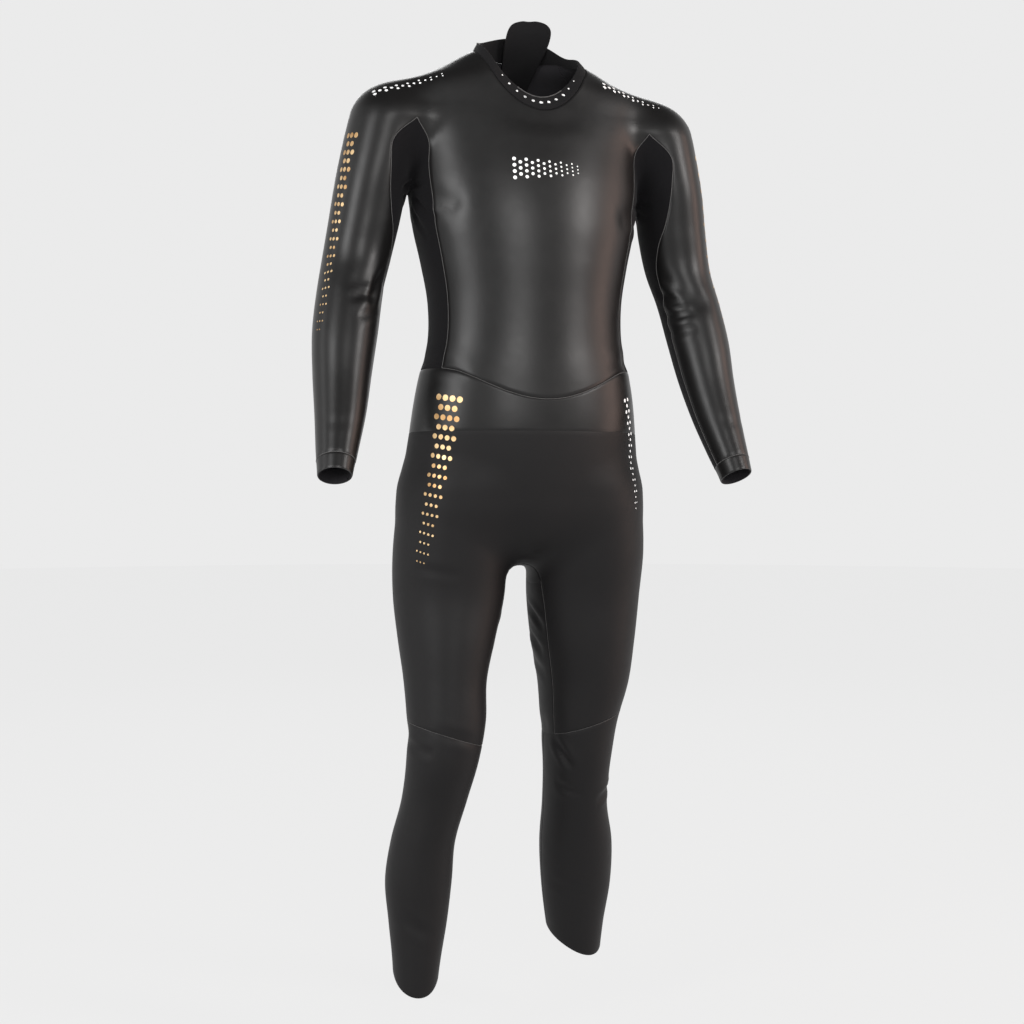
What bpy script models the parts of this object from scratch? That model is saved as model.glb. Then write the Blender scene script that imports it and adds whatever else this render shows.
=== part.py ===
"""A full-length swimming wetsuit, worn on an invisible figure.

Metres, +Z up. The origin is the middle of the neck's base, where the shoulders carry the suit.
The front faces -Y and the figure's left is +X.

The suit's outer form is a smooth union of five tubes (trunk, arms, legs), each given by a short
table of level sections. One mesh lies on that form, and its rows and columns follow the seams.
Each cloth piece is a set of that mesh's faces, drawn in a little from its seams and given its
own wall.
"""

import math
from collections import namedtuple

import bmesh
import bpy
import numpy as np
from mathutils import Matrix, Vector

# ---------------------------------------------------------------- sizes

SEAM_GAP = 0.0003  # between two pieces, measured across the seam

# Walls by cloth: foam rubber on the body, thinner where the arms must bend.
BODY_WALL = 0.003
SLEEVE_WALL = 0.002
JERSEY_WALL = 0.002
CUFF_WALL = 0.002
COLLAR_WALL = 0.003
FLAP_WALL = 0.0022
TAPE_WALL = 0.001

# Level sections of the trunk: the front and back are where the section ends in Y.
Trunk = namedtuple("Trunk", "z half_width front back")
TRUNK = [
    Trunk(0.110, 0.0620, -0.058, 0.058),
    Trunk(0.050, 0.0655, -0.063, 0.064),
    Trunk(0.024, 0.0800, -0.064, 0.073),
    Trunk(0.010, 0.1060, -0.064, 0.081),
    Trunk(-0.010, 0.1420, -0.065, 0.090),
    Trunk(-0.030, 0.1880, -0.066, 0.099),
    Trunk(-0.070, 0.1960, -0.074, 0.112),
    Trunk(-0.120, 0.1820, -0.087, 0.126),
    Trunk(-0.180, 0.1770, -0.099, 0.134),
    Trunk(-0.235, 0.1710, -0.104, 0.134),
    Trunk(-0.290, 0.1590, -0.102, 0.127),
    Trunk(-0.350, 0.1490, -0.098, 0.117),
    Trunk(-0.410, 0.1500, -0.096, 0.112),
    Trunk(-0.470, 0.1650, -0.097, 0.117),
    Trunk(-0.540, 0.1750, -0.095, 0.130),
    Trunk(-0.610, 0.1800, -0.085, 0.142),
    Trunk(-0.670, 0.1650, -0.071, 0.142),
    Trunk(-0.740, 0.1200, -0.055, 0.120),
]

# The suit sits lower beside the neck on the left.
Slump = namedtuple("Slump", "x drop")
SLUMP = [
    Slump(0.250, 0.0000),
    Slump(0.200, 0.0005),
    Slump(0.154, 0.0035),
    Slump(0.105, 0.0085),
    Slump(0.072, 0.0130),
    Slump(0.040, 0.0110),
    Slump(0.000, 0.0040),
    Slump(-0.040, 0.0000),
    Slump(-0.250, 0.0000),
]
SLUMP_END = -0.130  # no slump below this height

# Level sections of the limbs, in the middle of each: x is measured outwards from the centre.
Limb = namedtuple("Limb", "z x y half_width half_depth")
ARM = [
    Limb(-0.085, 0.213, 0.011, 0.055, 0.059),
    Limb(-0.120, 0.221, 0.013, 0.055, 0.060),
    Limb(-0.170, 0.233, 0.016, 0.053, 0.060),
    Limb(-0.235, 0.244, 0.022, 0.052, 0.056),
    Limb(-0.290, 0.255, 0.024, 0.050, 0.053),
    Limb(-0.340, 0.267, 0.012, 0.048, 0.052),
    Limb(-0.400, 0.277, -0.003, 0.047, 0.050),
    Limb(-0.460, 0.284, -0.018, 0.042, 0.047),
    Limb(-0.520, 0.291, -0.041, 0.036, 0.042),
    Limb(-0.575, 0.300, -0.064, 0.029, 0.036),
    Limb(-0.612, 0.306, -0.081, 0.024, 0.031),
    Limb(-0.650, 0.312, -0.096, 0.023, 0.030),
]
RIGHT_LEG = [
    Limb(-0.600, 0.094, 0.030, 0.084, 0.092),
    Limb(-0.660, 0.101, 0.036, 0.088, 0.098),
    Limb(-0.720, 0.108, 0.042, 0.086, 0.096),
    Limb(-0.790, 0.110, 0.045, 0.083, 0.092),
    Limb(-0.850, 0.117, 0.031, 0.072, 0.086),
    Limb(-0.910, 0.123, 0.015, 0.061, 0.075),
    Limb(-0.967, 0.125, 0.000, 0.058, 0.066),
    Limb(-1.025, 0.132, -0.005, 0.053, 0.060),
    Limb(-1.085, 0.142, 0.006, 0.048, 0.056),
    Limb(-1.146, 0.156, 0.018, 0.047, 0.058),
    Limb(-1.205, 0.162, 0.022, 0.049, 0.057),
    Limb(-1.263, 0.164, 0.018, 0.043, 0.050),
    Limb(-1.320, 0.168, 0.010, 0.035, 0.043),
    Limb(-1.380, 0.172, 0.005, 0.030, 0.038),
]
LEFT_LEG = [
    Limb(-0.600, 0.095, 0.030, 0.084, 0.092),
    Limb(-0.660, 0.102, 0.037, 0.090, 0.098),
    Limb(-0.720, 0.108, 0.046, 0.090, 0.097),
    Limb(-0.790, 0.109, 0.058, 0.087, 0.093),
    Limb(-0.860, 0.110, 0.062, 0.080, 0.088),
    Limb(-0.925, 0.111, 0.063, 0.070, 0.079),
    Limb(-0.987, 0.104, 0.063, 0.059, 0.069),
    Limb(-1.050, 0.102, 0.066, 0.052, 0.062),
    Limb(-1.115, 0.104, 0.082, 0.050, 0.059),
    Limb(-1.182, 0.112, 0.100, 0.057, 0.060),
    Limb(-1.249, 0.116, 0.111, 0.055, 0.055),
    Limb(-1.316, 0.118, 0.122, 0.046, 0.047),
    Limb(-1.380, 0.122, 0.130, 0.037, 0.042),
]
SHOULDER_TOP, SHOULDER_CAP = -0.092, 0.053  # each arm's tube rounds off above this height
HIP_TOP, HIP_CAP = -0.630, 0.060  # so does each leg's
TRUNK_BOTTOM, TRUNK_CAP = -0.650, 0.088  # and the trunk rounds off below this one
SHOULDER_BLEND, ARMPIT_BLEND = 0.050, 0.016  # how softly the arm joins, above and in the armpit
SHOULDER_BLEND_Z, ARMPIT_BLEND_Z = -0.090, -0.170
CROTCH_BLEND = 0.036

# The collar seam: a ring in plan, whose height follows y.
NECK_HALF_WIDTH = 0.077
NECK_FRONT = -0.073
NECK_BACK = 0.069
NECK_SIDE_Z = 0.008
NECK_SLOPE = 0.70
NECK_BOW = 6.0

# Where the underarm gusset's points and middle lie, on the left.
FRONT_POINT = (0.179, -0.047, -0.092)
BACK_POINT = (0.172, 0.094, -0.100)
ARMPIT_DROP = 0.103  # from the points down to the armpit
DROP_ROWS = 8  # mesh rows over which the drop runs out

# Seam heights.
FRONT_CENTRE_TOP = -0.200  # the chest row that meets the gussets' points
BACK_CENTRE_TOP = -0.175
WAIST_SIDE_Z = -0.450
WAIST_FRONT_Z = -0.496
WAIST_BACK_Z = -0.446
HIP_SEAM_Z = -0.542
CROTCH_FRONT_Z = -0.694
CROTCH_SIDE_Z = -0.715
CROTCH_BACK_Z = -0.705
CROTCH_LOW_Z = -0.738
KNEE_Z = -0.985
KNEE_SLOPE = 0.018  # the knee seam is this much higher outside and lower inside
HEM_Z = -1.337
HEM_SLOPE = 0.62  # the hem falls towards the front
TOE_OUT = {1: 28, -1: 8}  # degrees by which each hem's low side turns outwards
CUFF_SEAM_Z = -0.588
CUFF_HEM_Z = -0.608

# Angles round the trunk, from the front, of the gusset's edges, and of the raglan seams at the neck.
SIDE_FRONT_ANGLE = 63
SIDE_BACK_ANGLE = 117
RAGLAN_FRONT_ANGLE = 60
RAGLAN_BACK_ANGLE = 122

# Angles round the arm, from outside through the front, of the gusset's two edges.
Strip = namedtuple("Strip", "z front_edge back_edge")
SLEEVE_STRIP = [
    Strip(-0.092, 96, 264),
    Strip(-0.130, 98, 262),
    Strip(-0.180, 109, 250),
    Strip(-0.225, 124, 240),
    Strip(-0.275, 152, 230),
    Strip(-0.350, 166, 218),
    Strip(-0.620, 170, 212),
]

# The collar stands this high above its seam and leans in by this share of its rise.
COLLAR_FRONT, COLLAR_SIDE, COLLAR_BACK = 0.025, 0.016, 0.041
COLLAR_LEAN = 0.50
LEFT_LEAN = 0.30  # and by this much more over the left shoulder
COLLAR_END = 0.003  # from the centre to each end behind
TAB_COLUMNS = 3  # on each side of the centre
TAB_LOW, TAB_HIGH = 0.24, 0.80  # shares of the collar's height

# The flap inside the zip: its middle and half-width by height.
Flap = namedtuple("Flap", "z x half_width")
FLAP = [
    Flap(0.0850, 0.013, 0.0090),
    Flap(0.0836, 0.013, 0.0176),
    Flap(0.0800, 0.012, 0.0258),
    Flap(0.0725, 0.012, 0.0316),
    Flap(0.0635, 0.011, 0.0336),
    Flap(0.0500, 0.010, 0.0332),
    Flap(0.0360, 0.008, 0.0306),
    Flap(0.0180, 0.006, 0.0265),
    Flap(-0.0050, 0.003, 0.0215),
    Flap(-0.0300, 0.001, 0.0175),
    Flap(-0.0600, 0.000, 0.0150),
    Flap(-0.0840, 0.000, 0.0130),
    Flap(-0.0940, 0.000, 0.0070),
]
FLAP_COLUMNS = 6
COLLAR_CLEAR = 0.0074  # how much further in it runs behind the collar
FLAP_DEPTH = 0.0056  # from the form to the flap's outer face

# The zip: its coil, slider and pull, in the slider's own frame (across, out, along the back).
TAPE_SUNK = 0.0008
COIL_HALF_WIDTH, COIL_HEIGHT = 0.0020, 0.0017
SLIDER_Z = 0.002
SLIDER_HALF_WIDTH, SLIDER_HALF_LENGTH, SLIDER_PLATE = 0.0047, 0.0068, 0.0012
BRIDGE_HALF_WIDTH, BRIDGE_HALF_LENGTH, BRIDGE_HEIGHT, BRIDGE_BAR = 0.0011, 0.0040, 0.0036, 0.0011
PULL_LENGTH, PULL_HALF_WIDTH, PULL_THICK = 0.034, 0.0048, 0.0014
EYE_HALF_WIDTH, EYE_END, EYE_BAR = 0.0015, 0.0038, 0.0006
HINGE_OUT, HINGE_ALONG = 0.00125, -0.0016  # the pull's axis over the slider's plate

# Soft folds: from one point to another on the form, how wide and how deep.
Fold = namedtuple("Fold", "start stop width depth")
FOLDS = [
    Fold((-0.196, -0.030, -0.190), (-0.150, -0.085, -0.215), 0.016, 0.0030),
    Fold((-0.205, 0.050, -0.200), (-0.150, 0.110, -0.235), 0.018, 0.0030),
    Fold((0.196, -0.030, -0.195), (0.152, -0.085, -0.225), 0.016, 0.0030),
    Fold((0.205, 0.055, -0.205), (0.150, 0.112, -0.245), 0.018, 0.0028),
    Fold((-0.225, -0.010, -0.320), (-0.262, -0.040, -0.335), 0.016, 0.0026),
    Fold((0.225, -0.010, -0.310), (0.265, -0.040, -0.340), 0.016, 0.0030),
    Fold((-0.180, 0.010, -0.985), (-0.150, 0.060, -1.000), 0.016, 0.0026),
    Fold((-0.080, 0.050, -0.960), (-0.140, 0.070, -0.975), 0.018, 0.0030),
    Fold((0.060, 0.060, -0.990), (0.080, 0.120, -1.000), 0.016, 0.0026),
    Fold((0.150, 0.060, -1.050), (0.125, 0.120, -1.035), 0.018, 0.0030),
    Fold((-0.070, 0.110, -0.745), (-0.130, 0.140, -0.760), 0.020, 0.0034),
    Fold((0.070, 0.115, -0.750), (0.130, 0.145, -0.768), 0.020, 0.0030),
]

# Columns and rows of the mesh.
FRONT_COLUMNS = 6
SLEEVE_COLUMNS = 10
GUSSET_COLUMNS = 6
BACK_COLUMNS = 6
CROTCH_COLUMNS = 6
YOKE_ROWS = 9
BODY_ROWS = 12
SLEEVE_ROWS = 15
CUFF_ROWS = 2
WAIST_ROWS = 3
HIP_ROWS = 5
THIGH_ROWS = 8
SHIN_ROWS = 11
ZIP_HALF_WIDTH = 0.012
RELAX_ROUNDS = 45

HALF_COLUMNS = FRONT_COLUMNS + GUSSET_COLUMNS + BACK_COLUMNS
LEG_COLUMNS = HALF_COLUMNS + CROTCH_COLUMNS
SIDES = {"left": 1, "right": -1}


# ---------------------------------------------------------------- the outer form


def smooth_curve(heights, values):
    """A cubic through the table's values, as a function of height."""
    z = np.array(heights)[::-1]
    v = np.array(values)[::-1]
    slope = np.gradient(v, z)

    def at(height):
        h = np.clip(height, z[0], z[-1])
        i = np.clip(np.searchsorted(z, h) - 1, 0, len(z) - 2)
        step = z[i + 1] - z[i]
        t = (h - z[i]) / step
        return (
            (2 * t**3 - 3 * t**2 + 1) * v[i]
            + (t**3 - 2 * t**2 + t) * step * slope[i]
            + (3 * t**2 - 2 * t**3) * v[i + 1]
            + (t**3 - t**2) * step * slope[i + 1]
        )

    return at


class Tube:
    """A loft of level oval sections, with a round end above top and below bottom."""

    def __init__(self, z, x, y, half_width, front, back, top=None, bottom=None, cap=0.05):
        self.x = smooth_curve(z, x)
        self.y = smooth_curve(z, y)
        self.half_width = smooth_curve(z, half_width)
        self.front = smooth_curve(z, front)
        self.back = smooth_curve(z, back)
        self.top, self.bottom, self.cap = top, bottom, cap

    def depth(self, z, behind):
        return np.where(behind, self.back(z), self.front(z))

    def point(self, angle, z):
        """The section's point at this angle in degrees, from +X through the front."""
        a = np.radians(angle)
        depth = self.depth(z, np.sin(a) < 0)
        return np.stack(
            [self.x(z) + self.half_width(z) * np.cos(a), self.y(z) - depth * np.sin(a), z + 0 * a],
            axis=-1,
        )

    def distance(self, p):
        z = p[:, 2]
        across = p[:, 0] - self.x(z)
        along = p[:, 1] - self.y(z)
        half_width = self.half_width(z)
        depth = self.depth(z, along > 0)
        share = (across / half_width) ** 2 + (along / depth) ** 2
        if self.top is not None:
            share = share + (np.maximum(0, z - self.top) / self.cap) ** 2
        if self.bottom is not None:
            share = share + (np.maximum(0, self.bottom - z) / self.cap) ** 2
        return (np.sqrt(share) - 1) * np.sqrt(half_width * depth)


def trunk_tube():
    z, half_width, front, back = (np.array(column) for column in zip(*TRUNK))
    middle = 0.5 * (front + back)
    return Tube(
        z, 0 * z, middle, half_width, middle - front, back - middle, bottom=TRUNK_BOTTOM, cap=TRUNK_CAP
    )


def limb_tube(rows, side, top, cap):
    z, x, y, half_width, half_depth = (np.array(column) for column in zip(*rows))
    return Tube(z, side * x, y, half_width, half_depth, half_depth, top=top, cap=cap)


TRUNK_TUBE = trunk_tube()
SLUMP_CURVE = smooth_curve(*zip(*SLUMP))
ARM_TUBES = {side: limb_tube(ARM, side, SHOULDER_TOP, SHOULDER_CAP) for side in (1, -1)}
LEG_TUBES = {
    1: limb_tube(LEFT_LEG, 1, HIP_TOP, HIP_CAP),
    -1: limb_tube(RIGHT_LEG, -1, HIP_TOP, HIP_CAP),
}


def smooth_union(first, second, width):
    share = np.clip(0.5 + 0.5 * (second - first) / width, 0, 1)
    return second + (first - second) * share - width * share * (1 - share)


def form(p):
    """How far the points lie outside the suit's form, roughly in metres."""
    drop = SLUMP_CURVE(p[:, 0]) * ease(np.clip(1 - p[:, 2] / SLUMP_END, 0, 1))
    raised = p + drop[:, None] * (0, 0, 1)
    arms = np.minimum(ARM_TUBES[1].distance(p), ARM_TUBES[-1].distance(p))
    legs = smooth_union(LEG_TUBES[1].distance(p), LEG_TUBES[-1].distance(p), CROTCH_BLEND)
    blend = np.interp(
        p[:, 2], [ARMPIT_BLEND_Z, SHOULDER_BLEND_Z], [ARMPIT_BLEND, SHOULDER_BLEND]
    )
    body = smooth_union(TRUNK_TUBE.distance(raised), arms, blend)
    return smooth_union(body, legs, CROTCH_BLEND)


def slope_of_form(p, step=0.0005):
    """The gradient of the form at the points."""
    return np.stack(
        [(form(p + step * axis) - form(p - step * axis)) / (2 * step) for axis in np.eye(3)],
        axis=-1,
    )


def onto_form(p, level=0.0, rounds=12, longest=0.012):
    """The points moved onto the form, or onto the surface this far outside it."""
    for _ in range(rounds):
        slope = slope_of_form(p)
        move = ((form(p) - level) / (slope**2).sum(1))[:, None] * slope
        length = np.linalg.norm(move, axis=1, keepdims=True)
        p = p - move * np.minimum(1, longest / np.maximum(length, 1e-9))
    return p


def fold_depth(p):
    """How far the folds lie below the form at the points."""
    depth = np.zeros(len(p))
    for fold in FOLDS:
        start, stop = (onto_form(np.array([end]))[0] for end in (fold.start, fold.stop))
        run = stop - start
        t = np.clip((p - start) @ run / (run @ run), 0, 1)
        away = np.linalg.norm(p - start - t[:, None] * run, axis=1)
        depth += fold.depth * np.exp(-((away / fold.width) ** 2))
    return depth


def outward(p):
    slope = slope_of_form(p)
    return slope / np.linalg.norm(slope, axis=1, keepdims=True)


# ---------------------------------------------------------------- the mesh's rows


def mix(a, b, t):
    return a + (b - a) * t


def ease(t):
    return t * t * (3 - 2 * t)


def neck_height(y):
    return NECK_SIDE_Z + NECK_SLOPE * y - NECK_BOW * y * y


def neck_point(angle):
    """A point of the collar seam at this angle from the front, towards +X."""
    a = math.radians(angle)
    middle = 0.5 * (NECK_FRONT + NECK_BACK)
    y = middle - 0.5 * (NECK_BACK - NECK_FRONT) * math.cos(a)
    return np.array([NECK_HALF_WIDTH * math.sin(a), y, neck_height(y)])


def neck_angles():
    """The angles of the collar seam's points on one side, from the front's centre."""
    zip_angle = 180 - math.degrees(math.asin(ZIP_HALF_WIDTH / NECK_HALF_WIDTH))
    stops = [
        (0, RAGLAN_FRONT_ANGLE, FRONT_COLUMNS),
        (RAGLAN_FRONT_ANGLE, RAGLAN_BACK_ANGLE, SLEEVE_COLUMNS),
        (RAGLAN_BACK_ANGLE, zip_angle, BACK_COLUMNS - 1),
    ]
    angles = [mix(a, b, i / count) for a, b, count in stops for i in range(count)]
    return angles + [zip_angle, 180]


def neck_row(side):
    """The collar seam on one side, from the front's centre to the back's."""
    return np.array([neck_point(angle) for angle in neck_angles()]) * (side, 1, 1)


def armpit_drop(row):
    return ARMPIT_DROP * max(0, 1 - row / DROP_ROWS) ** 1.5


def point_height(row, end, rows):
    """The height at which this row crosses the gusset's edges, from its points down to end."""
    return mix(FRONT_POINT[2], end, row / rows)


def trunk_arc(side, start, stop, count):
    """Angles from the front at even distances round the trunk, including both ends."""
    fine = np.linspace(start, stop, 80)
    p = TRUNK_TUBE.point(90 - side * fine, np.full(80, WAIST_SIDE_Z))
    run = np.concatenate([[0], np.cumsum(np.linalg.norm(np.diff(p, axis=0), axis=1))])
    return np.interp(np.linspace(0, run[-1], count + 1), run, fine)


def body_half_row(side, row):
    """Half a row round the chest and belly: front, gusset, back, and the zip's tape."""
    share = row / BODY_ROWS
    edge = point_height(row, WAIST_SIDE_Z, BODY_ROWS)
    front_centre = mix(FRONT_CENTRE_TOP, WAIST_FRONT_Z, share)
    back_centre = mix(BACK_CENTRE_TOP, WAIST_BACK_Z, share)
    reach = 1 - max(0, 1 - row / 2) ** 2
    front_edge = mix(angle_on_trunk(FRONT_POINT), SIDE_FRONT_ANGLE, reach)
    back_edge = mix(angle_on_trunk(BACK_POINT), SIDE_BACK_ANGLE, reach)
    zip_angle = 180 - math.degrees(math.asin(ZIP_HALF_WIDTH / TRUNK_TUBE.half_width(edge)))
    drop = armpit_drop(row)

    def in_front(t):
        return edge + (front_centre - edge) * math.cos(math.pi * t / 2) ** 1.7

    def beneath_arm(t):
        return edge - drop * math.sin(math.pi * t) ** 0.8

    def behind(t):
        return mix(edge, back_centre, ease(t))

    rows = []
    for start, stop, count, height in (
        (0, front_edge, FRONT_COLUMNS, in_front),
        (front_edge, back_edge, GUSSET_COLUMNS, beneath_arm),
        (back_edge, zip_angle, BACK_COLUMNS - 1, behind),
    ):
        for i, angle in enumerate(trunk_arc(side, start, stop, count)[:-1]):
            rows.append((angle, height(i / count)))
    rows += [(zip_angle, back_centre), (180, back_centre)]
    angles, heights = (np.array(column) for column in zip(*rows))
    return TRUNK_TUBE.point(90 - side * angles, heights)


def angle_on_trunk(point):
    x, y, z = point
    along = y - float(TRUNK_TUBE.y(z))
    depth = float(TRUNK_TUBE.depth(z, along > 0))
    return math.degrees(math.atan2(x / float(TRUNK_TUBE.half_width(z)), -along / depth))


def strip_edges(z):
    heights, front, back = (np.array(column)[::-1] for column in zip(*SLEEVE_STRIP))
    return np.interp(z, heights, front), np.interp(z, heights, back)


def arm_angle(side, angle):
    """Turns an angle from the arm's outside into the tube's angle from +X."""
    return angle if side > 0 else 180 - angle


def ring_slope(side, z):
    """How the sleeve's rows tilt so that they stay square to the arm below the elbow."""
    tube = ARM_TUBES[side]
    step = 0.02
    low = np.array([float(tube.x(z - step)), float(tube.y(z - step))])
    high = np.array([float(tube.x(z + step)), float(tube.y(z + step))])
    share = float(np.clip((-0.30 - z) / 0.12, 0, 1))
    return -(high - low) / (2 * step) * share


def sleeve_row(side, row):
    """A ring of the sleeve: ten columns round the outside from the back edge, six of gusset."""
    tube = ARM_TUBES[side]
    if row <= SLEEVE_ROWS:
        edge = point_height(row, CUFF_SEAM_Z, SLEEVE_ROWS)
    else:
        edge = mix(CUFF_SEAM_Z, CUFF_HEM_Z, (row - SLEEVE_ROWS) / CUFF_ROWS)
    outer = edge - 0.018 * max(0, 1 - row / 5)
    front_edge, back_edge = strip_edges(edge)
    places = []
    for i in range(SLEEVE_COLUMNS):
        t = i / SLEEVE_COLUMNS
        places.append((mix(front_edge, back_edge - 360, t), mix(edge, outer, math.sin(math.pi * t))))
    for i in range(GUSSET_COLUMNS):
        t = i / GUSSET_COLUMNS
        height = edge - armpit_drop(row) * math.sin(math.pi * t) ** 0.8
        places.append((mix(back_edge - 360, front_edge - 360, t), height))
    angles, heights = (np.array(column) for column in zip(*places))
    p = tube.point(arm_angle(side, angles), heights)
    slope = ring_slope(side, edge)
    p[:, 2] += (p[:, 0] - float(tube.x(edge))) * slope[0] + (p[:, 1] - float(tube.y(edge))) * slope[1]
    return p


def hip_half_row(side, share):
    """Half a row between the waist seam (0), the hip seam (1) and the crotch (2)."""
    waist = body_half_row(side, BODY_ROWS)
    angles = np.array([angle_on_trunk(p * (side, 1, 1)) for p in waist])
    even = np.degrees(np.linspace(0, math.pi, HALF_COLUMNS + 1))
    angles = mix(angles, even, min(1, share))
    if share <= 1:
        heights = mix(waist[:, 2], HIP_SEAM_Z, share)
    else:
        a = np.radians(angles)
        low = CROTCH_SIDE_Z + np.where(
            a < math.pi / 2, CROTCH_FRONT_Z - CROTCH_SIDE_Z, CROTCH_BACK_Z - CROTCH_SIDE_Z
        ) * np.cos(a) ** 2
        heights = mix(HIP_SEAM_Z, low, share - 1)
    return TRUNK_TUBE.point(90 - side * angles, heights)


def leg_row(side, row):
    """A ring of the leg: from the front's centre round the outside, then the crotch columns."""
    tube = LEG_TUBES[side]
    angles = 135 - np.arange(LEG_COLUMNS) * 360 / LEG_COLUMNS
    inward = 0.5 - 0.5 * np.cos(np.radians(angles))
    crotch = mix(CROTCH_SIDE_Z, CROTCH_LOW_Z, inward)
    knee = KNEE_Z + KNEE_SLOPE * np.cos(np.radians(angles))
    if row <= THIGH_ROWS:
        heights = mix(crotch, knee, row / THIGH_ROWS)
        slope = 0
    else:
        share = (row - THIGH_ROWS) / SHIN_ROWS
        heights = mix(knee, HEM_Z, share)
        slope = HEM_SLOPE * share**2
    p = tube.point(arm_angle(side, angles), heights)
    turn = math.radians(TOE_OUT[side])
    behind = (p[:, 1] - tube.y(heights)) * math.cos(turn)
    inside = (tube.x(heights) - p[:, 0]) * side * math.sin(turn)
    p[:, 2] += (behind + inside) * slope
    return p


def crotch_line(front, back):
    """The line under the crotch, from the front's centre to the back's, without its ends."""
    t = np.arange(1, CROTCH_COLUMNS) / CROTCH_COLUMNS
    p = front + (back - front) * t[:, None]
    p[:, 2] = mix(p[:, 2], CROTCH_LOW_Z, np.sin(math.pi * t) ** 0.7)
    return p


# ---------------------------------------------------------------- the whole mesh


class Master:
    """The whole suit as one mesh of four-sided faces, each with the name of its piece."""

    def __init__(self):
        self.points, self.faces, self.pieces, self.held = [], [], [], set()
        self.seams = {}  # by piece: the numbers along the seam that closes it into a ring
        self.zip_line = set()  # the numbers down the centre of the zip
        self.neck = {}  # by side: the numbers along the collar seam, from the front's centre

    def add(self, row):
        """Stores a row of points and returns their numbers."""
        start = len(self.points)
        self.points += [np.array(p) for p in row]
        return list(range(start, start + len(row)))

    def strip(self, upper, lower, names, closed=False):
        """Faces between two rows, with a piece's name for each column."""
        count = len(upper) if closed else len(upper) - 1
        for i in range(count):
            j = (i + 1) % len(upper)
            self.faces.append((upper[i], lower[i], lower[j], upper[j]))
            self.pieces.append(names[i])

    def collar_seam(self):
        """The numbers round the neck, from the centre behind, by the right, to it again."""
        return self.neck["right"][:0:-1] + self.neck["left"]

    def seam(self, piece, number):
        self.seams.setdefault(piece, set()).add(number)

    def hold(self, numbers):
        self.held.update(numbers)

    def weld(self):
        """Makes one of the points that the two sides share."""
        places = np.round(np.array(self.points), 6) + 0.0
        kept, numbers = np.unique(places, axis=0, return_inverse=True)
        numbers = numbers.ravel()
        self.points = list(kept)
        self.faces = [tuple(numbers[i] for i in face) for face in self.faces]
        self.held = {int(numbers[i]) for i in self.held}
        self.seams = {name: {int(numbers[i]) for i in run} for name, run in self.seams.items()}
        self.zip_line = {int(numbers[i]) for i in self.zip_line}
        self.neck = {side: [int(numbers[i]) for i in row] for side, row in self.neck.items()}

    def relax(self):
        """Evens out the mesh along the form, leaving the seams that are held."""
        p = onto_form(np.array(self.points))
        faces = np.array(self.faces)
        middle = np.abs(p[:, 0]) < 1e-6
        ends = np.concatenate([faces[:, [i, (i + 1) % 4]] for i in range(4)])
        ends = np.unique(np.sort(ends, axis=1), axis=0)
        ends = np.concatenate([ends, ends[:, ::-1]])
        count = np.bincount(ends[:, 0], minlength=len(p))[:, None]
        free = np.ones((len(p), 1))
        free[list(self.held)] = 0
        for _ in range(RELAX_ROUNDS):
            total = np.zeros_like(p)
            np.add.at(total, ends[:, 0], p[ends[:, 1]])
            pull = total / count - p
            normal = outward(p)
            pull -= normal * (pull * normal).sum(1, keepdims=True)
            pull[middle, 0] = 0
            p = onto_form(p + 0.6 * free * pull, rounds=2)
        p = onto_form(p, rounds=4)
        normals = outward(p)
        self.points = p - normals * fold_depth(p)[:, None]
        # The walls' ways inwards are evened out, so that neighbours' edges don't twist.
        for _ in range(2):
            total = 2 * normals
            np.add.at(total, ends[:, 0], normals[ends[:, 1]])
            normals = total / np.linalg.norm(total, axis=1, keepdims=True)
        self.normals = normals


def yoke_names(side):
    return (
        ["front_torso"] * FRONT_COLUMNS
        + [f"sleeve_{side}"] * SLEEVE_COLUMNS
        + [f"back_{side}"] * (BACK_COLUMNS - 1)
        + [f"zip_tape_{side}"]
    )


def body_names(side):
    return (
        ["front_torso"] * FRONT_COLUMNS
        + [f"underarm_{side}"] * GUSSET_COLUMNS
        + [f"back_{side}"] * (BACK_COLUMNS - 1)
        + [f"zip_tape_{side}"]
    )


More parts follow.
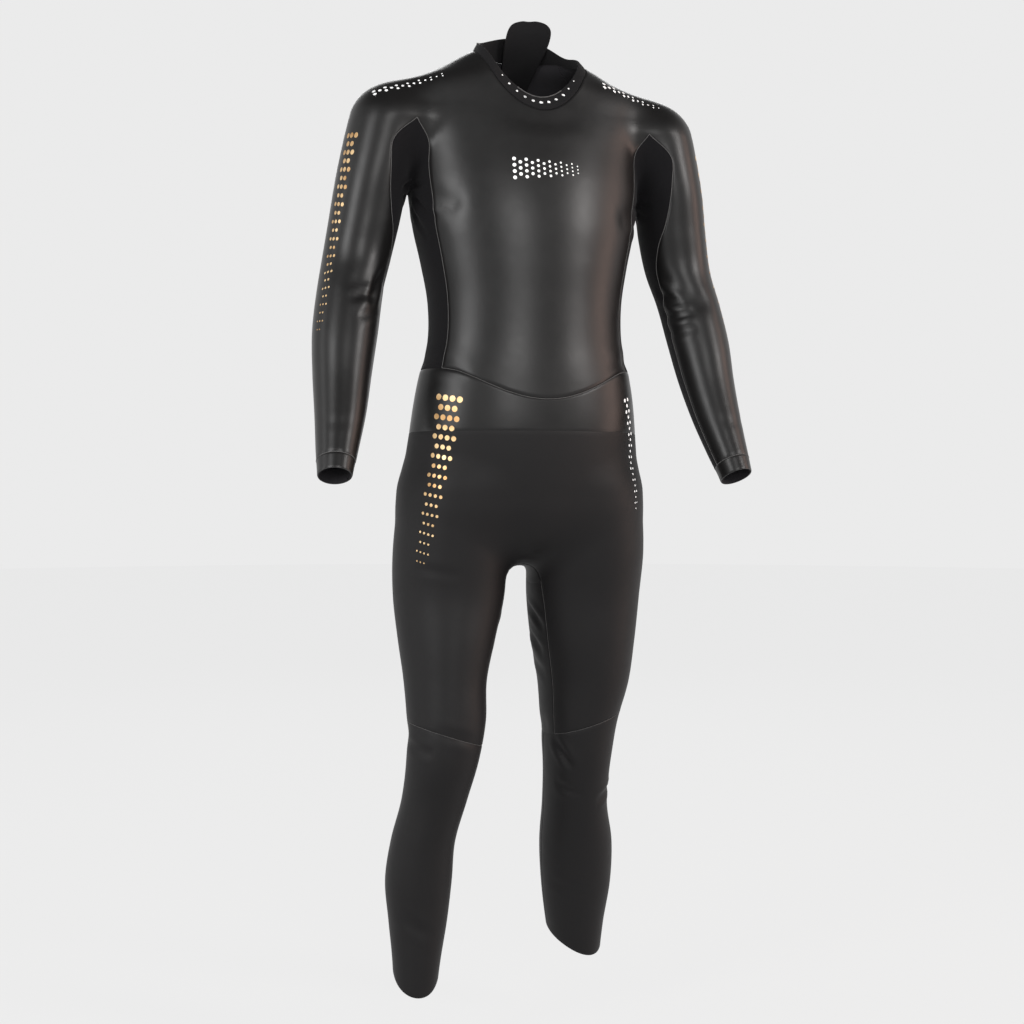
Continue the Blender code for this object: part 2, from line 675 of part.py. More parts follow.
def build_upper(master, side_name):
    """One side of the yoke, chest and sleeve. Returns the waist seam's numbers."""
    side = SIDES[side_name]
    top = neck_row(side)
    body = body_half_row(side, 0)
    arm = sleeve_row(side, 0)
    body[FRONT_COLUMNS] = np.array(FRONT_POINT) * (side, 1, 1)
    body[FRONT_COLUMNS + GUSSET_COLUMNS] = np.array(BACK_POINT) * (side, 1, 1)
    arc = arm[: SLEEVE_COLUMNS + 1].copy()
    arc[0], arc[-1] = body[FRONT_COLUMNS], body[FRONT_COLUMNS + GUSSET_COLUMNS]
    low = np.concatenate([body[:FRONT_COLUMNS], arc, body[FRONT_COLUMNS + GUSSET_COLUMNS + 1 :]])
    rows = [master.add(mix(top, low, i / YOKE_ROWS)) for i in range(YOKE_ROWS + 1)]
    for upper, lower in zip(rows, rows[1:]):
        master.strip(upper, lower, yoke_names(side_name))
    master.hold(rows[0])
    master.neck[side_name] = rows[0]
    raglan_front, raglan_back = FRONT_COLUMNS, FRONT_COLUMNS + SLEEVE_COLUMNS
    for row in rows:
        master.hold([row[raglan_front], row[raglan_back], row[-2], row[-1]])
        master.zip_line.add(row[-1])

    # The row through the armpit runs between the gusset's points.
    under = 0.5 * (
        body[FRONT_COLUMNS : FRONT_COLUMNS + GUSSET_COLUMNS + 1]
        + np.concatenate([arm[SLEEVE_COLUMNS:], arm[:1]])[::-1]
    )
    ring = rows[-1]
    armpit = [ring[raglan_front]] + master.add(under[1:-1]) + [ring[raglan_back]]
    upper = ring[:raglan_front] + armpit + ring[raglan_back + 1 :]
    for i in range(1, BODY_ROWS + 1):
        lower = master.add(body_half_row(side, i))
        master.strip(upper, lower, body_names(side_name))
        master.hold([lower[FRONT_COLUMNS], lower[FRONT_COLUMNS + GUSSET_COLUMNS], lower[-2], lower[-1]])
        master.zip_line.add(lower[-1])
        upper = lower
    master.hold(upper)

    sleeve = ring[raglan_front : raglan_back + 1] + armpit[-2:0:-1]
    names = [f"sleeve_{side_name}"] * SLEEVE_COLUMNS + [f"underarm_{side_name}"] * GUSSET_COLUMNS
    for i in range(1, SLEEVE_ROWS + CUFF_ROWS + 1):
        lower_ring = master.add(sleeve_row(side, i))
        if i > SLEEVE_ROWS:
            names = [f"cuff_{side_name}"] * len(names)
        master.strip(sleeve, lower_ring, names, closed=True)
        master.hold([lower_ring[0], lower_ring[SLEEVE_COLUMNS]])
        if i in (SLEEVE_ROWS, SLEEVE_ROWS + CUFF_ROWS):
            master.hold(lower_ring)
        if i >= SLEEVE_ROWS:
            master.seam(f"cuff_{side_name}", lower_ring[SLEEVE_COLUMNS + GUSSET_COLUMNS // 2])
        sleeve = lower_ring
    return upper


def build_hips(master, side_name, waist):
    """One side from the waist seam to the crotch. Returns the lowest row's numbers."""
    side = SIDES[side_name]
    upper = waist
    master.seam("waist_band", waist[-1])
    side_seam = FRONT_COLUMNS + GUSSET_COLUMNS
    for i in range(1, WAIST_ROWS + HIP_ROWS + 1):
        in_band = i <= WAIST_ROWS
        share = i / WAIST_ROWS if in_band else 1 + (i - WAIST_ROWS) / HIP_ROWS
        lower = master.add(hip_half_row(side, share))
        names = ["legs_front"] * side_seam + [f"seat_{side_name}"] * BACK_COLUMNS
        master.strip(upper, lower, ["waist_band"] * HALF_COLUMNS if in_band else names)
        if i == WAIST_ROWS:
            master.hold(lower)
        if in_band:
            master.seam("waist_band", lower[-1])
        upper = lower
    return upper


def build_leg(master, side_name, top, crotch):
    """One leg: its first ring is half the hip's last row and the line under the crotch."""
    side = SIDES[side_name]
    side_seam = FRONT_COLUMNS + GUSSET_COLUMNS
    upper = top + crotch[::-1]
    for i in range(1, THIGH_ROWS + SHIN_ROWS + 1):
        lower = master.add(leg_row(side, i))
        inner = "crotch_gusset" if i == 1 else f"inner_leg_{side_name}"
        names = (
            ["legs_front"] * side_seam
            + [f"seat_{side_name}"] * (BACK_COLUMNS + 1)
            + [inner] * (CROTCH_COLUMNS - 2)
            + ["legs_front"]
        )
        if i > THIGH_ROWS:
            names = [f"lower_leg_{side_name}"] * LEG_COLUMNS
        master.strip(upper, lower, names, closed=True)
        if i in (THIGH_ROWS, THIGH_ROWS + SHIN_ROWS):
            master.hold(lower)
        if i >= THIGH_ROWS:
            master.seam(f"lower_leg_{side_name}", lower[LEG_COLUMNS - CROTCH_COLUMNS // 2])
        upper = lower


def build_master():
    master = Master()
    lowest = {}
    for side_name in SIDES:
        waist = build_upper(master, side_name)
        lowest[side_name] = build_hips(master, side_name, waist)
    # The two sides share the line under the crotch.
    left = lowest["left"]
    front, back = master.points[left[0]], master.points[left[-1]]
    crotch = master.add(crotch_line(front, back))
    for side_name in SIDES:
        build_leg(master, side_name, lowest[side_name], crotch)
    master.weld()
    master.relax()
    return master


# ---------------------------------------------------------------- pieces


def new_material(name, colour, roughness, metallic=0.0):
    material = bpy.data.materials.new(name)
    material.use_nodes = True
    shader = material.node_tree.nodes["Principled BSDF"]
    shader.inputs["Base Color"].default_value = (*colour, 1)
    shader.inputs["Roughness"].default_value = roughness
    shader.inputs["Metallic"].default_value = metallic
    return material


def new_object(name, bm, material):
    bmesh.ops.recalc_face_normals(bm, faces=bm.faces)
    mesh = bpy.data.meshes.new(name)
    bm.to_mesh(mesh)
    bm.free()
    mesh.shade_smooth()
    mesh.set_sharp_from_angle(angle=math.radians(50))
    obj = bpy.data.objects.new(name, mesh)
    bpy.context.scene.collection.objects.link(obj)
    mesh.materials.append(material)
    return obj


def draw_in(bm, distance):
    """Moves the open border of a sheet inwards, along the sheet."""
    pulls = {}
    for edge in bm.edges:
        if not edge.is_boundary:
            continue
        face = edge.link_faces[0]
        a, b = edge.verts
        inward = (b.co - a.co).cross(face.normal)
        if inward.dot(face.calc_center_median() - a.co) < 0:
            inward.negate()
        for vert in edge.verts:
            pulls.setdefault(vert, []).append(inward.normalized())
    for vert, inwards in pulls.items():
        middle = sum(inwards, Vector()).normalized()
        vert.co += middle * distance / max(0.4, middle.dot(inwards[0]))


def split_wall(bm, faces, rank):
    """Cuts each face of a wall's edge in two, the same way in the pieces on either side."""
    for face in faces:
        low = min(face.verts, key=rank)
        loop = next(loop for loop in face.loops if loop.vert == low)
        far = loop.link_loop_next.link_loop_next.vert
        bmesh.utils.face_split(face, low, far)


def cloth_piece(master, name, wall, material, sunk=0.0):
    """A piece as a closed wall: its outer face on the form, sunk by this much."""
    bm = bmesh.new()
    number = bm.verts.layers.int.new("number")
    verts = {}
    for face, piece in zip(master.faces, master.pieces):
        if piece != name:
            continue
        for i in face:
            if i not in verts:
                verts[i] = bm.verts.new(master.points[i])
                verts[i][number] = i
        bm.faces.new([verts[i] for i in face])
    bm.normal_update()
    seam = master.seams.get(name, set())
    cut = [edge for edge in bm.edges if all(vert[number] in seam for vert in edge.verts)]
    if cut:
        bmesh.ops.split_edges(bm, edges=cut)
    draw_in(bm, SEAM_GAP / 2)
    inner = bm.verts[:]
    outer_and_inner = set(bm.faces)
    made = bmesh.ops.extrude_face_region(bm, geom=bm.faces[:], use_keep_orig=True)["geom"]
    outer_and_inner.update(item for item in made if isinstance(item, bmesh.types.BMFace))
    inner_verts = set(inner)
    for vert in bm.verts:
        vert.co -= Vector(master.normals[vert[number]]) * sunk
    for vert in inner:
        vert.co -= Vector(master.normals[vert[number]]) * wall
    edges = [face for face in bm.faces if 0 < sum(vert in inner_verts for vert in face.verts) < 4]
    split_wall(bm, edges, lambda vert: (vert in inner_verts, vert[number]))
    return new_object(name, bm, material)


def shell(name, rows, wall, material, lowest_normals=None):
    """A grid of points, seen from outside, as a closed wall behind it."""
    grid = np.array(rows)
    down, across = np.gradient(grid, axis=0), np.gradient(grid, axis=1)
    normal = np.cross(down, across)
    normal /= np.linalg.norm(normal, axis=2, keepdims=True)
    if lowest_normals is not None:
        normal[-1] = lowest_normals
    bm = bmesh.new()
    outer = [[bm.verts.new(p) for p in row] for row in grid]
    inner = [[bm.verts.new(p) for p in row] for row in grid - normal * wall]
    height, width = grid.shape[:2]
    for i in range(height - 1):
        for j in range(width - 1):
            for side in (outer, inner):
                bm.faces.new([side[i][j], side[i + 1][j], side[i + 1][j + 1], side[i][j + 1]])
    border = [(0, j) for j in range(width)] + [(i, width - 1) for i in range(1, height)]
    border += [(height - 1, j) for j in range(width - 2, -1, -1)]
    border += [(i, 0) for i in range(height - 2, 0, -1)]
    for (i, j), (k, m) in zip(border, border[1:] + border[:1]):
        bm.faces.new([outer[i][j], outer[k][m], inner[k][m], inner[i][j]])
    return new_object(name, bm, material)


# ---------------------------------------------------------------- the collar and flap


def collar_height(angle):
    a = math.radians(angle)
    end = COLLAR_FRONT if abs(angle) < 90 else COLLAR_BACK
    return mix(end, COLLAR_SIDE, math.sin(a) ** 2)


def collar_grid(angles, shares, out=0.0):
    """Points of the collar's outer face, by angle and by share of its height."""
    base = onto_form(np.array([neck_point(angle) for angle in angles]))
    height = np.array([collar_height(angle) for angle in angles])[:, None]
    inward = -base * (1, 1, 0)
    inward /= np.linalg.norm(inward, axis=1, keepdims=True)
    lean = COLLAR_LEAN + LEFT_LEAN * np.maximum(0, np.sin(np.radians(angles)))[:, None] ** 5
    rise = inward * lean + (0, 0, 0.9)
    rise /= np.linalg.norm(rise, axis=1, keepdims=True)
    rows = np.array([base + rise * height * share for share in shares])
    up, across = rows[0] - rows[-1], np.gradient(rows[0], axis=0)
    normal = np.cross(across, up)
    normal /= np.linalg.norm(normal, axis=1, keepdims=True)
    return rows + normal * out


def build_collar(master, cloth, tab_cloth):
    half = neck_angles()
    angles = [-angle for angle in half[:0:-1]] + half
    lift = SEAM_GAP / 2 / COLLAR_SIDE
    rows = collar_grid(angles, (1, 0.5, lift))
    # The last column runs to the centre: it stops short, so the ends don't meet.
    for end, step in ((0, 1), (-1, -2)):
        near, beside = rows[:, end], rows[:, step]
        share = 1 - COLLAR_END / np.abs(beside[:, :1])
        rows[:, end] = beside + (near - beside) * share
    shell("collar", rows, COLLAR_WALL, cloth, [master.normals[i] for i in master.collar_seam()])
    back = half[-TAB_COLUMNS - 1 :]
    angles = back + [360 - angle for angle in back[-2::-1]]
    shares = (TAB_HIGH, 0.5, TAB_LOW)
    rows = collar_grid(angles, shares, SEAM_GAP + CUFF_WALL)
    shell("collar_tab", rows, CUFF_WALL, tab_cloth)


def back_surface(x, z):
    """Where the back's outer face lies in Y, or above it the collar's."""
    seam = onto_form(np.array([neck_point(angle) for angle in np.linspace(130, 230, 41)]))
    seam_y = np.interp(-x, -seam[:, 0], seam[:, 1])
    seam_z = np.interp(-x, -seam[:, 0], seam[:, 2])
    y = np.full_like(x, 0.10)
    p = np.stack([x, y, np.minimum(z, seam_z)], axis=-1)
    for _ in range(12):
        p[:, 1] -= form(p) / np.maximum(slope_of_form(p)[:, 1], 0.2)
    above = np.maximum(0, z - seam_z)
    lean = COLLAR_LEAN / 0.9 * np.minimum(above, 0.040)
    return p[:, 1] - lean - COLLAR_CLEAR * np.minimum(above / 0.012, 1)


def build_flap(cloth):
    rows = []
    for row in FLAP:
        x = row.x - row.half_width * np.linspace(-1, 1, FLAP_COLUMNS + 1)
        z = np.full_like(x, row.z)
        y = back_surface(x, z) - FLAP_DEPTH * 1.16
        rows.append(np.stack([x, y, z], axis=-1))
    shell("neck_flap", rows, FLAP_WALL, cloth)


# ---------------------------------------------------------------- the zip


def sweep(name, path, outs, section, material):
    """A closed section (across, out) carried along a path on the centre line behind."""
    bm = bmesh.new()
    rings = []
    for p, out in zip(path, outs):
        rings.append([bm.verts.new(p + out * height + (across, 0, 0)) for across, height in section])
    for a, b in zip(rings, rings[1:]):
        for i in range(len(section)):
            j = (i + 1) % len(section)
            bm.faces.new([a[i], a[j], b[j], b[i]])
    bm.faces.new(rings[0])
    bm.faces.new(rings[-1][::-1])
    return new_object(name, bm, material)


def prism(outline, half_width):
    """An outline of (out, along) drawn across the zip by this much each way."""
    bm = bmesh.new()
    ends = [
        [bm.verts.new((across, out, along)) for out, along in outline]
        for across in (-half_width, half_width)
    ]
    for i in range(len(outline)):
        j = (i + 1) % len(outline)
        bm.faces.new([ends[0][i], ends[0][j], ends[1][j], ends[1][i]])
    bm.faces.new(ends[0][::-1])
    bm.faces.new(ends[1])
    bmesh.ops.recalc_face_normals(bm, faces=bm.faces)
    return bm


def join(obj, name, bm, operation):
    """Joins a second solid to an object, or cuts it away."""
    other = new_object(name, bm, obj.data.materials[0])
    other.hide_render = True
    other.display_type = "WIRE"
    modifier = obj.modifiers.new(name, "BOOLEAN")
    modifier.operation = operation
    modifier.solver = "EXACT"
    modifier.object = other


def zip_line(master):
    """The centre line behind, from the collar seam to the waist seam, and its outward way."""
    numbers = sorted(master.zip_line, key=lambda i: -master.points[i][2])
    return [np.array(master.points[i]) for i in numbers], [np.array(master.normals[i]) for i in numbers]


def build_coil(master, material):
    path, outs = zip_line(master)
    path[0] = mix(path[0], path[1], 0.10)
    path[-1] = mix(path[-1], path[-2], 0.03)
    low = SEAM_GAP - TAPE_SUNK
    w, h = COIL_HALF_WIDTH, COIL_HEIGHT
    half = [(w, low), (w, low + 0.5 * h), (0.55 * w, low + h)]
    section = half + [(-across, height) for across, height in half[::-1]]
    sweep("zip_coil", path, outs, section, material)


def slider_frame(master):
    """The slider's place in the middle of a straight run of the coil, and its axes as columns."""
    path, _ = zip_line(master)
    i = next(i for i in range(len(path)) if 0.5 * (path[i][2] + path[i + 1][2]) < SLIDER_Z)
    along = path[i] - path[i + 1]
    along /= np.linalg.norm(along)
    out = np.cross(along, (1.0, 0, 0))
    frame = Matrix(np.column_stack([(1.0, 0, 0), out, along])).to_4x4()
    frame.translation = mix(path[i], path[i + 1], 0.5)
    return frame


def build_slider(frame, material):
    """A plate with two flanks over the coil, and a bridge for the pull."""
    low = SEAM_GAP - TAPE_SUNK
    channel = low + COIL_HEIGHT + SEAM_GAP
    plate = channel + SLIDER_PLATE
    w, inner, length = SLIDER_HALF_WIDTH, COIL_HALF_WIDTH + SEAM_GAP, SLIDER_HALF_LENGTH
    half = [(inner, channel), (inner, low), (w, low), (w, plate - 0.0008), (w - 0.0008, plate)]
    section = half + [(-across, out) for across, out in half[::-1]]
    bm = bmesh.new()
    ends = [[bm.verts.new((x, y, z)) for x, y in section] for z in (-length, length)]
    for i in range(len(section)):
        j = (i + 1) % len(section)
        bm.faces.new([ends[0][i], ends[0][j], ends[1][j], ends[1][i]])
    bm.faces.new(ends[0])
    bm.faces.new(ends[1][::-1])
    bmesh.ops.transform(bm, matrix=frame, verts=bm.verts)
    slider = new_object("zip_slider", bm, material)
    top, bar, half = plate + BRIDGE_HEIGHT, BRIDGE_BAR, BRIDGE_HALF_LENGTH
    foot, bevel = plate - 0.0006, 0.0008
    one_side = [(foot, half), (top - bevel, half), (top, half - bevel)]
    inside = [(foot, half - bar), (top - bar, half - bar)]
    outline = one_side + [(out, -along) for out, along in one_side[::-1]]
    outline += [(out, -along) for out, along in inside] + inside[::-1]
    bm = prism(outline, BRIDGE_HALF_WIDTH)
    bmesh.ops.transform(bm, matrix=frame, verts=bm.verts)
    join(slider, "bridge", bm, "UNION")
    return plate


def build_pull(frame, plate, material):
    """A flat tab whose eye goes round the bridge. Its origin is on its hinge."""
    hinge = frame @ Vector((0, plate + HINGE_OUT, HINGE_ALONG))
    turn = frame.to_3x3().to_4x4()
    eye = EYE_HALF_WIDTH + 0.0017
    half = [
        (eye - 0.0005, EYE_BAR),
        (eye, EYE_BAR - 0.0006),
        (eye, -0.006),
        (PULL_HALF_WIDTH, -0.013),
        (PULL_HALF_WIDTH, 0.004 - PULL_LENGTH),
        (0.6 * PULL_HALF_WIDTH, 0.001 - PULL_LENGTH),
        (0.25 * PULL_HALF_WIDTH, -PULL_LENGTH),
    ]
    outline = half + [(-across, along) for across, along in half[::-1]]
    cut = [
        (EYE_HALF_WIDTH, -EYE_BAR),
        (EYE_HALF_WIDTH, -EYE_END),
        (-EYE_HALF_WIDTH, -EYE_END),
        (-EYE_HALF_WIDTH, -EYE_BAR),
    ]
    solids = []
    for points, thick in ((outline, PULL_THICK / 2), (cut, PULL_THICK)):
        bm = bmesh.new()
        ends = [[bm.verts.new((x, y, z)) for x, z in points] for y in (-thick, thick)]
        for i in range(len(points)):
            j = (i + 1) % len(points)
            bm.faces.new([ends[0][i], ends[0][j], ends[1][j], ends[1][i]])
        bm.faces.new(ends[0][::-1])
        bm.faces.new(ends[1])
        bmesh.ops.transform(bm, matrix=turn, verts=bm.verts)
        solids.append(bm)
    pull = new_object("zip_pull", solids[0], material)
    join(pull, "eye", solids[1], "DIFFERENCE")
    pull.location = hinge
    bpy.data.objects["eye"].location = hinge
    print("hinge", [round(value, 6) for value in hinge])


def clear_scene():
    for obj in list(bpy.data.objects):
        bpy.data.objects.remove(obj)


def main():
    clear_scene()
    smooth_skin = new_material("smooth_skin", (0.018, 0.018, 0.019), 0.34)
    leg_skin = new_material("leg_skin", (0.020, 0.019, 0.019), 0.48)
    jersey = new_material("jersey", (0.012, 0.011, 0.013), 0.85)
    collar_cloth = new_material("collar_cloth", (0.020, 0.019, 0.020), 0.75)
    tape = new_material("zip_tape_cloth", (0.010, 0.010, 0.010), 0.85)
    plastic = new_material("zip_plastic", (0.015, 0.015, 0.015), 0.45)
    master = build_master()
    walls = {"sleeve": SLEEVE_WALL, "underarm": JERSEY_WALL, "cuff": CUFF_WALL, "zip": TAPE_WALL}
    cloths = {"underarm": jersey, "zip": tape}
    cloths.update(dict.fromkeys(("legs", "seat", "inner", "crotch", "lower"), leg_skin))
    for name in sorted(set(master.pieces)):
        kind = name.split("_")[0]
        sunk = TAPE_SUNK if kind == "zip" else 0
        cloth_piece(master, name, walls.get(kind, BODY_WALL), cloths.get(kind, smooth_skin), sunk)
    build_collar(master, collar_cloth, jersey)
    build_flap(collar_cloth)
    build_coil(master, plastic)
    frame = slider_frame(master)
    plate = build_slider(frame, plastic)
    build_pull(frame, plate, plastic)


main()
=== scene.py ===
"""A swimming wetsuit dressed on its frame: cloth, seams, printed dots, zip and stage.

Metres, +Z up, the front faces -Y. Each cloth panel is a fine copy of its frame solid's outer face,
laid on the suit's smooth form, creased and given its wall again.
"""

import math
from collections import namedtuple

import bmesh
import bpy
import numpy as np
from mathutils import Matrix, Vector
from mathutils.kdtree import KDTree


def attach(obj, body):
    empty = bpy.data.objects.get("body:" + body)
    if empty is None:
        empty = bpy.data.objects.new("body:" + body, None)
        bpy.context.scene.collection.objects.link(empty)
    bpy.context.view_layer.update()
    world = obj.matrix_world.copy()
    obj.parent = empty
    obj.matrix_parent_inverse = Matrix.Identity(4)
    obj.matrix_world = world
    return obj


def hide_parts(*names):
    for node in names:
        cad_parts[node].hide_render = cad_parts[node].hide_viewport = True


bl_info = {
    "name": "Wetsuit",
    "version": (1, 0, 0),
    "blender": (4, 5, 0),
    "location": "3D View > Sidebar > Wetsuit",
    "description": "Dresses the swimming wetsuit's frame",
    "category": "Object",
}

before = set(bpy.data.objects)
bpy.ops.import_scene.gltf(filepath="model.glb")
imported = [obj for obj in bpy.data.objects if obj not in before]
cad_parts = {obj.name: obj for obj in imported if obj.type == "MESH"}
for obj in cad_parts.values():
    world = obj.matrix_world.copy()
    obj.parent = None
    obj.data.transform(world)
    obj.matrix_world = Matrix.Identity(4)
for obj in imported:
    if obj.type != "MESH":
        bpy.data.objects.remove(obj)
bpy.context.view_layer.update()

# ---------------------------------------------------------------- the suit's form, as the frame has it

# Level sections of the trunk: height, half width, and where its front and back are in Y.
TRUNK = [
    (0.110, 0.0620, -0.058, 0.058),
    (0.050, 0.0655, -0.063, 0.064),
    (0.024, 0.0800, -0.064, 0.073),
    (0.010, 0.1060, -0.064, 0.081),
    (-0.010, 0.1420, -0.065, 0.090),
    (-0.030, 0.1880, -0.066, 0.099),
    (-0.070, 0.1960, -0.074, 0.112),
    (-0.120, 0.1820, -0.087, 0.126),
    (-0.180, 0.1770, -0.099, 0.134),
    (-0.235, 0.1710, -0.104, 0.134),
    (-0.290, 0.1590, -0.102, 0.127),
    (-0.350, 0.1490, -0.098, 0.117),
    (-0.410, 0.1500, -0.096, 0.112),
    (-0.470, 0.1650, -0.097, 0.117),
    (-0.540, 0.1750, -0.095, 0.130),
    (-0.610, 0.1800, -0.085, 0.142),
    (-0.670, 0.1650, -0.071, 0.142),
    (-0.740, 0.1200, -0.055, 0.120),
]

# The suit sits lower beside the neck on the left: the place in X, and how much lower.
SLUMP = [
    (0.250, 0.0000),
    (0.200, 0.0005),
    (0.154, 0.0035),
    (0.105, 0.0085),
    (0.072, 0.0130),
    (0.040, 0.0110),
    (0.000, 0.0040),
    (-0.040, 0.0000),
    (-0.250, 0.0000),
]
SLUMP_END = -0.130  # no slump below this height

# Level sections of the limbs: height, the middle's X (outwards) and Y, half width, half depth.
ARM = [
    (-0.085, 0.213, 0.011, 0.055, 0.059),
    (-0.120, 0.221, 0.013, 0.055, 0.060),
    (-0.170, 0.233, 0.016, 0.053, 0.060),
    (-0.235, 0.244, 0.022, 0.052, 0.056),
    (-0.290, 0.255, 0.024, 0.050, 0.053),
    (-0.340, 0.267, 0.012, 0.048, 0.052),
    (-0.400, 0.277, -0.003, 0.047, 0.050),
    (-0.460, 0.284, -0.018, 0.042, 0.047),
    (-0.520, 0.291, -0.041, 0.036, 0.042),
    (-0.575, 0.300, -0.064, 0.029, 0.036),
    (-0.612, 0.306, -0.081, 0.024, 0.031),
    (-0.650, 0.312, -0.096, 0.023, 0.030),
]
RIGHT_LEG = [
    (-0.600, 0.094, 0.030, 0.084, 0.092),
    (-0.660, 0.101, 0.036, 0.088, 0.098),
    (-0.720, 0.108, 0.042, 0.086, 0.096),
    (-0.790, 0.110, 0.045, 0.083, 0.092),
    (-0.850, 0.117, 0.031, 0.072, 0.086),
    (-0.910, 0.123, 0.015, 0.061, 0.075),
    (-0.967, 0.125, 0.000, 0.058, 0.066),
    (-1.025, 0.132, -0.005, 0.053, 0.060),
    (-1.085, 0.142, 0.006, 0.048, 0.056),
    (-1.146, 0.156, 0.018, 0.047, 0.058),
    (-1.205, 0.162, 0.022, 0.049, 0.057),
    (-1.263, 0.164, 0.018, 0.043, 0.050),
    (-1.320, 0.168, 0.010, 0.035, 0.043),
    (-1.380, 0.172, 0.005, 0.030, 0.038),
]
LEFT_LEG = [
    (-0.600, 0.095, 0.030, 0.084, 0.092),
    (-0.660, 0.102, 0.037, 0.090, 0.098),
    (-0.720, 0.108, 0.046, 0.090, 0.097),
    (-0.790, 0.109, 0.058, 0.087, 0.093),
    (-0.860, 0.110, 0.062, 0.080, 0.088),
    (-0.925, 0.111, 0.063, 0.070, 0.079),
    (-0.987, 0.104, 0.063, 0.059, 0.069),
    (-1.050, 0.102, 0.066, 0.052, 0.062),
    (-1.115, 0.104, 0.082, 0.050, 0.059),
    (-1.182, 0.112, 0.100, 0.057, 0.060),
    (-1.249, 0.116, 0.111, 0.055, 0.055),
    (-1.316, 0.118, 0.122, 0.046, 0.047),
    (-1.380, 0.122, 0.130, 0.037, 0.042),
]
SHOULDER_TOP, SHOULDER_CAP = -0.092, 0.053  # each arm's tube rounds off above this height
HIP_TOP, HIP_CAP = -0.630, 0.060  # so does each leg's
TRUNK_BOTTOM, TRUNK_CAP = -0.650, 0.088  # and the trunk rounds off below this one
SHOULDER_BLEND, ARMPIT_BLEND = 0.050, 0.016  # how softly the arm joins, above and in the armpit
SHOULDER_BLEND_Z, ARMPIT_BLEND_Z = -0.090, -0.170
CROTCH_BLEND = 0.036
SLOPE_STEP = 0.0005  # the form's gradient is measured over this much on either side
LONGEST_MOVE = 0.012  # towards the form, in one round

# The frame's soft folds: from one point to another on the form, how wide and how deep.
Fold = namedtuple("Fold", "start stop width depth")
FOLDS = [
    Fold((-0.196, -0.030, -0.190), (-0.150, -0.085, -0.215), 0.016, 0.0030),
    Fold((-0.205, 0.050, -0.200), (-0.150, 0.110, -0.235), 0.018, 0.0030),
    Fold((0.196, -0.030, -0.195), (0.152, -0.085, -0.225), 0.016, 0.0030),
    Fold((0.205, 0.055, -0.205), (0.150, 0.112, -0.245), 0.018, 0.0028),
    Fold((-0.225, -0.010, -0.320), (-0.262, -0.040, -0.335), 0.016, 0.0026),
    Fold((0.225, -0.010, -0.310), (0.265, -0.040, -0.340), 0.016, 0.0030),
    Fold((-0.180, 0.010, -0.985), (-0.150, 0.060, -1.000), 0.016, 0.0026),
    Fold((-0.080, 0.050, -0.960), (-0.140, 0.070, -0.975), 0.018, 0.0030),
    Fold((0.060, 0.060, -0.990), (0.080, 0.120, -1.000), 0.016, 0.0026),
    Fold((0.150, 0.060, -1.050), (0.125, 0.120, -1.035), 0.018, 0.0030),
    Fold((-0.070, 0.110, -0.745), (-0.130, 0.140, -0.760), 0.020, 0.0034),
    Fold((0.070, 0.115, -0.750), (0.130, 0.145, -0.768), 0.020, 0.0030),
]


def ease(t):
    return t * t * (3 - 2 * t)


def smooth_curve(heights, values):
    """A cubic through the table's values, as a function of height."""
    z = np.array(heights)[::-1]
    v = np.array(values)[::-1]
    slope = np.gradient(v, z)

    def at(height):
        h = np.clip(height, z[0], z[-1])
        i = np.clip(np.searchsorted(z, h) - 1, 0, len(z) - 2)
        step = z[i + 1] - z[i]
        t = (h - z[i]) / step
        return (
            (2 * t**3 - 3 * t**2 + 1) * v[i]
            + (t**3 - 2 * t**2 + t) * step * slope[i]
            + (3 * t**2 - 2 * t**3) * v[i + 1]
            + (t**3 - t**2) * step * slope[i + 1]
        )

    return at


class Tube:
    """A loft of level oval sections, with a round end above top and below bottom."""

    def __init__(self, z, x, y, half_width, front, back, cap, top=None, bottom=None):
        self.x = smooth_curve(z, x)
        self.y = smooth_curve(z, y)
        self.half_width = smooth_curve(z, half_width)
        self.front = smooth_curve(z, front)
        self.back = smooth_curve(z, back)
        self.top, self.bottom, self.cap = top, bottom, cap

    def distance(self, p):
        """Roughly how far the points lie outside the tube."""
        z = p[:, 2]
        across = p[:, 0] - self.x(z)
        along = p[:, 1] - self.y(z)
        half_width = self.half_width(z)
        depth = np.where(along > 0, self.back(z), self.front(z))
        share = (across / half_width) ** 2 + (along / depth) ** 2
        if self.top is not None:
            share = share + (np.maximum(0, z - self.top) / self.cap) ** 2
        if self.bottom is not None:
            share = share + (np.maximum(0, self.bottom - z) / self.cap) ** 2
        return (np.sqrt(share) - 1) * np.sqrt(half_width * depth)


def trunk_tube():
    z, half_width, front, back = (np.array(column) for column in zip(*TRUNK))
    middle = 0.5 * (front + back)
    return Tube(z, 0 * z, middle, half_width, middle - front, back - middle, TRUNK_CAP, bottom=TRUNK_BOTTOM)


def limb_tube(rows, side, top, cap):
    z, x, y, half_width, half_depth = (np.array(column) for column in zip(*rows))
    return Tube(z, side * x, y, half_width, half_depth, half_depth, cap, top=top)


TRUNK_TUBE = trunk_tube()
SLUMP_CURVE = smooth_curve(*zip(*SLUMP))
ARM_TUBES = {side: limb_tube(ARM, side, SHOULDER_TOP, SHOULDER_CAP) for side in (1, -1)}
LEG_TUBES = {
    1: limb_tube(LEFT_LEG, 1, HIP_TOP, HIP_CAP),
    -1: limb_tube(RIGHT_LEG, -1, HIP_TOP, HIP_CAP),
}


def smooth_union(first, second, width):
    """The distance from both forms together, with a soft join this wide."""
    share = np.clip(0.5 + 0.5 * (second - first) / width, 0, 1)
    return second + (first - second) * share - width * share * (1 - share)


